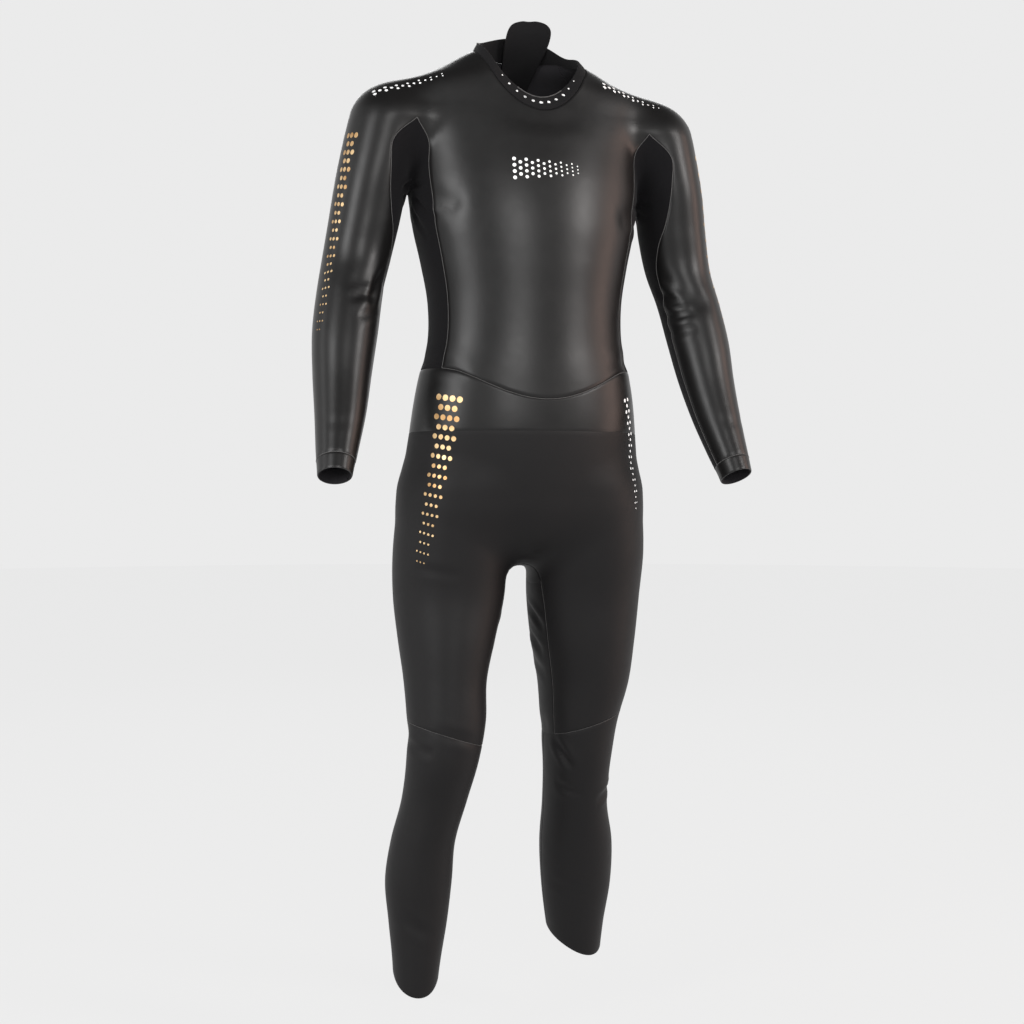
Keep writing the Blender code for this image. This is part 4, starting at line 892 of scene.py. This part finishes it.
# Where the printed dots run, by points near the form; the sleeves' is given for the right side.
THIGH_GUIDE = [
    (-0.135, -0.054, -0.495),
    (-0.141, -0.048, -0.555),
    (-0.152, -0.045, -0.613),
    (-0.160, -0.037, -0.671),
    (-0.170, -0.024, -0.732),
]
SLEEVE_GUIDE = [
    (-0.269, -0.015, -0.117),
    (-0.280, -0.012, -0.174),
    (-0.289, -0.005, -0.231),
    (-0.299, -0.004, -0.296),
    (-0.310, -0.020, -0.356),
    (-0.319, -0.025, -0.399),
]
CHEST_GUIDE = [(-0.048, -0.093, -0.166), (0.000, -0.097, -0.165), (0.048, -0.091, -0.163)]
RIGHT_SHOULDER_GUIDE = [
    (-0.238, -0.024, -0.056),
    (-0.209, -0.029, -0.047),
    (-0.172, -0.028, -0.036),
    (-0.140, -0.036, -0.026),
]
LEFT_SHOULDER_GUIDE = [
    (0.107, -0.044, -0.024),
    (0.131, -0.040, -0.030),
    (0.165, -0.034, -0.038),
    (0.200, -0.030, -0.048),
]
HIP_GUIDE = [
    (0.140, -0.049, -0.493),
    (0.150, -0.040, -0.552),
    (0.155, -0.043, -0.612),
    (0.159, -0.041, -0.655),
]
# The fields of white dots: name, guide, how many columns and how far apart.
WHITE_FIELDS = [
    ("chest_dots", CHEST_GUIDE, 4, 0.0095),
    ("shoulder_dots_right", RIGHT_SHOULDER_GUIDE, 2, 0.0085),
    ("shoulder_dots_left", LEFT_SHOULDER_GUIDE, 2, 0.0085),
    ("hip_dots_left", HIP_GUIDE, 2, 0.0100),
]


def print_dots(name, guide, columns, spacing, pitch, first, last, material):
    """A staggered field of printed dots down a guide line, from the first radius to the last."""
    line = resampled(onto_form(np.array(guide)), pitch)
    bm = bmesh.new()
    for i, middle in enumerate(line):
        ahead = line[min(i + 1, len(line) - 1)] - line[max(i - 1, 0)]
        ahead /= np.linalg.norm(ahead)
        out = outward(middle[None])[0]
        aside = np.cross(ahead, out)
        share = i / max(1, len(line) - 1)
        radius = first + (last - first) * share
        count = columns - i % 2
        width = spacing * (COLUMNS_END + (1 - COLUMNS_END) * (1 - share))
        for j in range(count):
            disc = bmesh.ops.create_circle(bm, cap_ends=True, cap_tris=False, segments=18, radius=radius)
            turn = Matrix(np.column_stack([aside, ahead, out])).to_4x4()
            turn.translation = middle + aside * width * (j - 0.5 * (count - 1))
            bmesh.ops.transform(bm, matrix=turn, verts=disc["verts"])
    bmesh.ops.inset_region(bm, faces=bm.faces, thickness=DOT_RIM * last, use_even_offset=True)
    for vert, place in zip(bm.verts, lay_on_cloth(points_of(bm), PRINT_LIFT)):
        vert.co = place
    shade_smooth(bm)
    bmesh.ops.recalc_face_normals(bm, faces=bm.faces)
    bm.faces.ensure_lookup_table()
    way = outward(np.array([bm.faces[0].calc_center_median()[:]]))[0]
    if bm.faces[0].normal.dot(Vector(way)) < 0:
        bmesh.ops.reverse_faces(bm, faces=bm.faces)
    finish_piece(link_mesh(name, bm), material)


# ---------------------------------------------------------------- collar and flap

COLLAR_REACH = 0.0004  # how far the collar reaches down to close its seam
COLLAR_DOTS, COLLAR_DOT_TURN = 9, 5.4  # dots on either side of the middle one, and degrees between
COLLAR_DOT_HEIGHT, COLLAR_DOT_LIFT = 0.0115, 0.0002  # above the collar's lower edge, and its face
COLLAR_DOT_SHARE = 0.75  # the largest one, by the other white dots
COLLAR_SECTOR = 0.992  # the cosine of the angle within which its lower edge is sought
COLLAR_CLEAR = 0.03  # how far out the search for its face starts
BINDING_DROP = 0.0016  # below the collar's top edge
BINDING_RISE = 0.2  # how far the bead's middle is out from the face, by its radius
LEAN_COS, LEAN_SIN = 0.87, 0.49  # of the angle by which the collar leans in
RIM_ANGLE = math.radians(50)  # edges sharper than this are rounded
RIM_SHARE = 0.22  # by this share of the wall


def make_neck_cloth(name, material, wall):
    """A collar piece or the flap: its solid with rounded edges and a smooth face."""
    bm = welded(name)
    make_quads(bm, 30)
    rim = [edge for edge in bm.edges if edge.calc_face_angle(0) > RIM_ANGLE]
    width = RIM_SHARE * wall
    bmesh.ops.bevel(bm, geom=rim, offset=width, segments=1, profile=0.5, affect="EDGES", material=-1)
    shade_smooth(bm)
    for vert in bm.verts:
        if name == "collar" and any(face.normal.z < -0.7 for face in vert.link_faces):
            vert.co.z -= COLLAR_REACH
    obj = link_mesh(f"{name}_cloth", bm)
    smooth = obj.modifiers.new("smooth", "SUBSURF")
    smooth.levels = smooth.render_levels = 2
    finish_piece(obj, material)
    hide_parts(name)


def collar_rim():
    """The run of points along the collar's outer top edge."""
    bm = welded("collar")
    make_quads(bm, 30)
    edges = []
    for edge in bm.edges:
        first, second = (face.normal for face in edge.link_faces)
        away = edge.verts[0].co * Vector((1, 1, 0))
        top, side = (first, second) if first.z > second.z else (second, first)
        if top.z > 0.7 and side.dot(away.normalized()) > 0.6:
            edges.append(edge)
    runs = chained(edges)
    bm.free()
    return runs


def make_collar_binding(radius):
    """The light sewn line just below the collar's top edge."""
    runs = []
    for run in collar_rim():
        run = resampled(run, 0.003)
        out = run * (1, 1, 0)
        out /= np.linalg.norm(out, axis=1, keepdims=True)
        down = LEAN_SIN * out - (0, 0, LEAN_COS)
        off = LEAN_COS * out + (0, 0, LEAN_SIN)
        runs.append(run + down * BINDING_DROP + off * BINDING_RISE * radius)
    bead("collar_binding", runs, radius, "binding")


def low_edge(bm, way):
    """The collar's outer lower edge, towards this side."""
    level = Vector((1, 1, 0))
    near = [vert.co for vert in bm.verts if (vert.co * level).normalized().dot(way) > COLLAR_SECTOR]
    return min(near, key=lambda co: co.z - 0.5 * co.dot(way)).copy()


def print_collar_dots(radius):
    """A row of white dots round the collar's front, largest in the middle."""
    collar = bpy.data.objects["collar_cloth"].evaluated_get(bpy.context.evaluated_depsgraph_get())
    solid = welded("collar")
    bm = bmesh.new()
    for i in range(-COLLAR_DOTS, COLLAR_DOTS + 1):
        angle = math.radians(COLLAR_DOT_TURN * i)
        way = Vector((math.sin(angle), -math.cos(angle), 0))
        start = low_edge(solid, way) + Vector((0, 0, COLLAR_DOT_HEIGHT)) + way * COLLAR_CLEAR
        hit, place, out, _ = collar.ray_cast(start, -way)
        if not hit:
            raise RuntimeError("a collar dot misses the collar")
        size = radius * (1 - 0.5 * (i / COLLAR_DOTS) ** 2)
        disc = bmesh.ops.create_circle(bm, cap_ends=True, segments=16, radius=size)
        turn = out.to_track_quat("Z", "Y").to_matrix().to_4x4()
        turn.translation = place + out * COLLAR_DOT_LIFT
        bmesh.ops.transform(bm, matrix=turn, verts=disc["verts"])
    solid.free()
    finish_piece(link_mesh("collar_dots", bm), "white")


# ---------------------------------------------------------------- zip

TOOTH_WIDTH, TOOTH_HEIGHT, TOOTH_LENGTH = 0.0026, 0.0015, 0.00085
TOOTH_PITCH = 0.0011
TOOTH_ROOT, TOOTH_SHIFT = 0.0004, 0.0005  # how deep a tooth sits, and how far off the centre
TOOTH_BEVEL = 0.00018
TEETH_TOP, TEETH_BOTTOM = 0.003, 0.002  # how far short of the zip's ends the teeth stop
ZIP_Y = 0.11  # near the back's surface, where the search for it starts


def zip_centre():
    """Points down the zip's centre at the cloth's face, and their outward ways."""
    bm = welded("zip_coil")
    heights = [vert.co.z for vert in bm.verts]
    bm.free()
    z = np.arange(max(heights) - TEETH_TOP, min(heights) + TEETH_BOTTOM, -TOOTH_PITCH)
    p = np.stack([0 * z, 0 * z + ZIP_Y, z], axis=-1)
    for _ in range(10):
        p[:, 1] -= form(p) / np.maximum(slope_of_form(p)[:, 1], 0.2)
    return p, outward(p)


def make_teeth(name):
    """Moulded teeth from either side in turn, each a small bevelled block."""
    bm = bmesh.new()
    places, outs = zip_centre()
    for i, (place, out) in enumerate(zip(places, outs)):
        side = 1 if i % 2 else -1
        along = np.cross((1.0, 0, 0), out)
        tooth = bmesh.ops.create_cube(bm, size=1.0)
        size = Matrix.Diagonal((TOOTH_WIDTH, TOOTH_HEIGHT, TOOTH_LENGTH, 1))
        turn = Matrix(np.column_stack([(1.0, 0, 0), out, along])).to_4x4()
        shift = np.array((side * TOOTH_SHIFT, 0, 0))
        turn.translation = place + out * (0.5 * TOOTH_HEIGHT - TOOTH_ROOT) + shift
        bmesh.ops.transform(bm, matrix=turn @ size, verts=tooth["verts"])
    edges = bm.edges[:]
    bmesh.ops.bevel(bm, geom=edges, offset=TOOTH_BEVEL, segments=1, profile=0.5, affect="EDGES", material=-1)
    obj = link_mesh(name, bm)
    finish_piece(obj, "plastic")
    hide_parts("zip_coil")


def dress_hard_piece(name, width):
    """Gives a moulded frame piece its plastic and soft edges."""
    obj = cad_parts[name]
    give_material(obj, "plastic")
    soft = obj.modifiers.new("soft_edges", "BEVEL")
    soft.width, soft.segments, soft.limit_method = width, 2, "ANGLE"


# ---------------------------------------------------------------- stage

CAMERA_PLACE = (-0.67936, -2.14510, -0.62)
CAMERA_TURN = math.radians(-17)
CAMERA_LENS, CAMERA_SHIFT = 52.73, -0.0264
CAMERA_SENSOR = 36
FLOOR_Z, FLOOR_RADIUS = -1.47, 14
CEILING_TONE = 0.12

# Soft boxes: name, place, what it aims at, width, height, power in watts and colour.
Lamp = namedtuple("Lamp", "name place aim width height power colour")
LAMPS = [
    Lamp("key_left", (-2.9, -1.7, 0.3), (0, 0, -0.4), 1.1, 2.0, 66, (1, 1, 1)),
    Lamp("front", (-0.4, -3.7, 0.3), (0, 0, -0.4), 1.2, 1.6, 50, (1, 0.99, 0.98)),
    Lamp("fill_right", (2.5, -2.4, 0.6), (0, 0, -0.3), 0.8, 1.4, 62, (1, 0.97, 0.95)),
    Lamp("side_left", (-2.6, 0.4, -0.3), (0, 0, -0.5), 0.5, 2.2, 10, (1, 1, 1)),
    Lamp("warm_right", (2.6, -0.7, -0.3), (0, 0, -0.5), 0.8, 2.4, 24, (1, 0.66, 0.54)),
    Lamp("back", (0.8, 3.2, 1.4), (0, 0, -0.5), 2.6, 2.0, 45, (1, 1, 1)),
]


def add_lamp(lamp):
    data = bpy.data.lights.new(lamp.name, "AREA")
    data.shape, data.size, data.size_y = "RECTANGLE", lamp.width, lamp.height
    data.energy, data.color = lamp.power, lamp.colour
    obj = bpy.data.objects.new(lamp.name, data)
    obj.location = lamp.place
    way = Vector(lamp.aim) - Vector(lamp.place)
    obj.rotation_euler = way.to_track_quat("-Z", "Y").to_euler()
    obj.visible_camera = False
    bpy.context.scene.collection.objects.link(obj)


def add_floor(colour, glow):
    """A plain floor whose own glow keeps it evenly pale from front to back."""
    surface = Surface("pale_floor")
    surface.set(Base_Color=(*colour, 1), Roughness=0.9, Specular_IOR_Level=0.0)
    surface.set(Emission_Color=(glow, glow, glow, 1), Emission_Strength=1.0)
    bm = bmesh.new()
    bmesh.ops.create_circle(bm, cap_ends=True, segments=64, radius=FLOOR_RADIUS)
    bmesh.ops.translate(bm, vec=(0, 0, FLOOR_Z), verts=bm.verts)
    floor = link_mesh("floor", bm)
    floor.data.materials.append(surface.material)


def add_world(tone):
    """Surroundings that are pale round about and darker overhead, as under a studio's ceiling."""
    world = bpy.data.worlds.new("studio")
    world.use_nodes = True
    n = Nodes(world.node_tree, "Generated")
    limits = {"From Min": 0.5, "From Max": 0.8, "To Min": tone, "To Max": CEILING_TONE}
    height = n.node("ShaderNodeMapRange", {}, {"Value": n.axis("Z"), **limits})
    n.tree.links.new(height.socket, n.tree.nodes["Background"].inputs["Color"])
    bpy.context.scene.world = world
    bpy.context.scene.view_settings.view_transform = "Standard"


def add_camera():
    data = bpy.data.cameras.new("camera")
    data.lens, data.sensor_width, data.shift_y = CAMERA_LENS, CAMERA_SENSOR, CAMERA_SHIFT
    camera = bpy.data.objects.new("camera", data)
    camera.location = CAMERA_PLACE
    camera.rotation_euler = (math.pi / 2, 0, CAMERA_TURN)
    bpy.context.scene.collection.objects.link(camera)
    bpy.context.scene.camera = camera


# ---------------------------------------------------------------- what a user may change


def colour_prop(name, description, default):
    return bpy.props.FloatVectorProperty(
        name=name, description=description, default=default, size=3, min=0, max=1, subtype="COLOR"
    )


def length_prop(name, description, default):
    return bpy.props.FloatProperty(
        name=name, description=description, default=default, min=0.0001, precision=5, unit="LENGTH"
    )


def share_prop(name, description, default):
    return bpy.props.FloatProperty(
        name=name, description=description, default=default, min=0, max=1, subtype="FACTOR"
    )


class WetsuitLook(bpy.types.PropertyGroup):
    """The suit's colours and finishes."""

    skin_colour: colour_prop("Smooth skin", "Colour of the glossy foam rubber", (0.0055, 0.0052, 0.0052))
    leg_colour: colour_prop("Leg skin", "Colour of the duller foam rubber", (0.0050, 0.0045, 0.0048))
    jersey_colour: colour_prop("Jersey", "Colour of the underarm gussets", (0.0036, 0.0033, 0.0040))
    collar_colour: colour_prop("Collar", "Colour of the collar's and flap's jersey", (0.0050, 0.0047, 0.0052))
    tape_colour: colour_prop("Zip tape", "Colour of the zip's tapes", (0.010, 0.010, 0.010))
    plastic_colour: colour_prop("Zip plastic", "Colour of the teeth, slider and pull", (0.018, 0.018, 0.018))
    thread_colour: colour_prop("Thread", "Colour of threads and collar binding", (0.075, 0.073, 0.072))
    gold_colour: colour_prop("Gold print", "Brightest tone of the gold dots", (0.60, 0.43, 0.23))
    white_colour: colour_prop("White print", "Tone of the small white dots", (0.82, 0.82, 0.82))
    skin_roughness: share_prop("Smooth skin roughness", "How broad its highlights are", 0.35)
    leg_roughness: share_prop("Leg skin roughness", "How broad its highlights are", 0.54)


class WetsuitSizes(bpy.types.PropertyGroup):
    """The sizes of the suit's finer parts."""

    thread: length_prop("Thread", "Radius of a seam's raised thread", 0.0005)
    binding: length_prop("Binding", "Radius of the line below the collar's edge", 0.0007)
    thigh_dot: length_prop("Thigh dot", "Radius of the largest gold dot on the thigh", 0.0046)
    thigh_small_dot: length_prop("Thigh small dot", "Radius of the smallest dot on the thigh", 0.0012)
    sleeve_dot: length_prop("Sleeve dot", "Radius of the largest gold dot on a sleeve", 0.0040)
    white_dot: length_prop("White dot", "Radius of the largest white dot", 0.0028)
    leg_thread: share_prop("Leg thread", "Radius of the legs' threads, by the others'", 0.55)
    small_dot: length_prop("Small dot", "Radius of the smallest white and sleeve dots", 0.0011)
    cuts: bpy.props.IntProperty(
        name="Fineness", description="How often each face of the frame is cut", default=5, min=1, max=8
    )


class WetsuitStage(bpy.types.PropertyGroup):
    """The floor and the surroundings."""

    floor_colour: colour_prop("Floor", "Colour of the floor", (0.05, 0.05, 0.05))
    floor_glow: share_prop("Floor's glow", "Tone that the floor has of itself", 0.79)
    tone: share_prop("Surroundings", "Brightness of the surroundings", 0.83)


# ---------------------------------------------------------------- operators


def prepared_sizes(context):
    """The sizes, once the materials and the panels' borders are there."""
    if not MATERIALS:
        make_materials(context.scene.wetsuit_look)
        find_borders()
    return context.scene.wetsuit_sizes


def make_panels(context, *names):
    sizes = prepared_sizes(context)
    cuts = sizes.cuts
    for name in names:
        make_panel(name, cuts)


def make_pairs(context, *kinds):
    for kind in kinds:
        make_panels(context, f"{kind}_right", f"{kind}_left")


class WETSUIT_OT_body(bpy.types.Operator):
    """Makes the torso's panels and the waist band"""

    bl_idname = "wetsuit.body"
    bl_label = "Torso and waist band"

    def execute(self, context):
        make_panels(context, "front_torso", "back_right", "back_left", "waist_band")
        return {"FINISHED"}


class WETSUIT_OT_arms(bpy.types.Operator):
    """Makes the sleeves, their cuffs and the underarm gussets"""

    bl_idname = "wetsuit.arms"
    bl_label = "Sleeves and gussets"

    def execute(self, context):
        make_pairs(context, "sleeve", "underarm", "cuff")
        return {"FINISHED"}


class WETSUIT_OT_legs(bpy.types.Operator):
    """Makes the panels of the hips and legs"""

    bl_idname = "wetsuit.legs"
    bl_label = "Legs"

    def execute(self, context):
        make_panels(context, "legs_front", "crotch_gusset")
        make_pairs(context, "seat", "inner_leg", "lower_leg")
        return {"FINISHED"}


class WETSUIT_OT_neck(bpy.types.Operator):
    """Makes the collar, its tab behind and the tall neck flap"""

    bl_idname = "wetsuit.neck"
    bl_label = "Collar and flap"

    def execute(self, context):
        sizes = prepared_sizes(context)
        make_neck_cloth("collar", "collar_cloth", 0.003)
        make_neck_cloth("collar_tab", "jersey", 0.002)
        make_neck_cloth("neck_flap", "collar_cloth", 0.0022)
        make_collar_binding(sizes.binding)
        return {"FINISHED"}


class WETSUIT_OT_zip(bpy.types.Operator):
    """Makes the back zip's tapes and teeth and finishes its slider and pull"""

    bl_idname = "wetsuit.zip"
    bl_label = "Back zip"

    def execute(self, context):
        make_pairs(context, "zip_tape")
        make_teeth("zip_teeth")
        dress_hard_piece("zip_slider", 0.0003)
        dress_hard_piece("zip_pull", 0.0004)
        return {"FINISHED"}


class WETSUIT_OT_seams(bpy.types.Operator):
    """Lays raised threads along the seams"""

    bl_idname = "wetsuit.seams"
    bl_label = "Seam threads"

    def execute(self, context):
        sizes = prepared_sizes(context)
        radius, thin = sizes.thread, sizes.leg_thread * sizes.thread
        for side in ("right", "left"):
            upper = ["front_torso", f"back_{side}", f"sleeve_{side}"]
            thighs = ["legs_front", f"seat_{side}"]
            seam_bead(f"gusset_thread_{side}", f"underarm_{side}", upper, radius, lift=0.3 * radius)
            seam_bead(f"knee_thread_{side}", f"lower_leg_{side}", thighs, thin)
            seam_bead(f"cuff_thread_{side}", f"cuff_{side}", [f"sleeve_{side}"], radius)
            seam_bead(f"inner_leg_thread_{side}", f"inner_leg_{side}", thighs, thin)
        seam_bead("waist_thread", "waist_band", ["front_torso", "back_right", "back_left"], radius)
        return {"FINISHED"}


class WETSUIT_OT_prints(bpy.types.Operator):
    """Prints graduated gold dots on thigh and sleeves and small white ones"""

    bl_idname = "wetsuit.prints"
    bl_label = "Printed dots"

    def execute(self, context):
        sizes = prepared_sizes(context)
        small, white = sizes.small_dot, sizes.white_dot
        print_dots(
            "thigh_dots", THIGH_GUIDE, 4, 0.0115, 0.0135, sizes.thigh_dot, sizes.thigh_small_dot, "gold"
        )
        for side, mirror in (("right", 1), ("left", -1)):
            guide = [(mirror * x, y, z) for x, y, z in SLEEVE_GUIDE]
            print_dots(f"sleeve_dots_{side}", guide, 3, 0.0100, 0.0125, sizes.sleeve_dot, small, "gold")
        for name, guide, columns, spacing in WHITE_FIELDS:
            print_dots(name, guide, columns, spacing, 0.0085, white, small, "white")
        print_collar_dots(COLLAR_DOT_SHARE * white)
        return {"FINISHED"}


class WETSUIT_OT_stage(bpy.types.Operator):
    """Sets up the floor, the soft lights and the camera"""

    bl_idname = "wetsuit.stage"
    bl_label = "Stage"

    def execute(self, context):
        stage = context.scene.wetsuit_stage
        add_floor(tuple(stage.floor_colour), stage.floor_glow)
        add_world(stage.tone)
        for lamp in LAMPS:
            add_lamp(lamp)
        add_camera()
        return {"FINISHED"}


OPERATORS = [
    WETSUIT_OT_body,
    WETSUIT_OT_arms,
    WETSUIT_OT_legs,
    WETSUIT_OT_neck,
    WETSUIT_OT_zip,
    WETSUIT_OT_seams,
    WETSUIT_OT_prints,
    WETSUIT_OT_stage,
]
GROUPS = {"wetsuit_look": WetsuitLook, "wetsuit_sizes": WetsuitSizes, "wetsuit_stage": WetsuitStage}


class WETSUIT_PT_panel(bpy.types.Panel):
    """Lists the suit's values and its pieces"""

    bl_label = "Wetsuit"
    bl_space_type = "VIEW_3D"
    bl_region_type = "UI"
    bl_category = "Wetsuit"

    def draw(self, context):
        for group in GROUPS:
            values = getattr(context.scene, group)
            box = self.layout.box()
            for name in values.bl_rna.properties.keys():
                if name not in ("rna_type", "name"):
                    box.prop(values, name)
        for operator in OPERATORS:
            self.layout.operator(operator.bl_idname)


CLASSES = [*GROUPS.values(), *OPERATORS, WETSUIT_PT_panel]


def register():
    for cls in CLASSES:
        bpy.utils.register_class(cls)
    for name, group in GROUPS.items():
        setattr(bpy.types.Scene, name, bpy.props.PointerProperty(type=group))


def unregister():
    for name in GROUPS:
        delattr(bpy.types.Scene, name)
    for cls in reversed(CLASSES):
        bpy.utils.unregister_class(cls)


def main():
    register()
    bpy.ops.wetsuit.body()
    bpy.ops.wetsuit.arms()
    bpy.ops.wetsuit.legs()
    bpy.ops.wetsuit.neck()
    bpy.ops.wetsuit.zip()
    bpy.ops.wetsuit.seams()
    bpy.ops.wetsuit.prints()
    bpy.ops.wetsuit.stage()


if __name__ == "__main__":
    main()
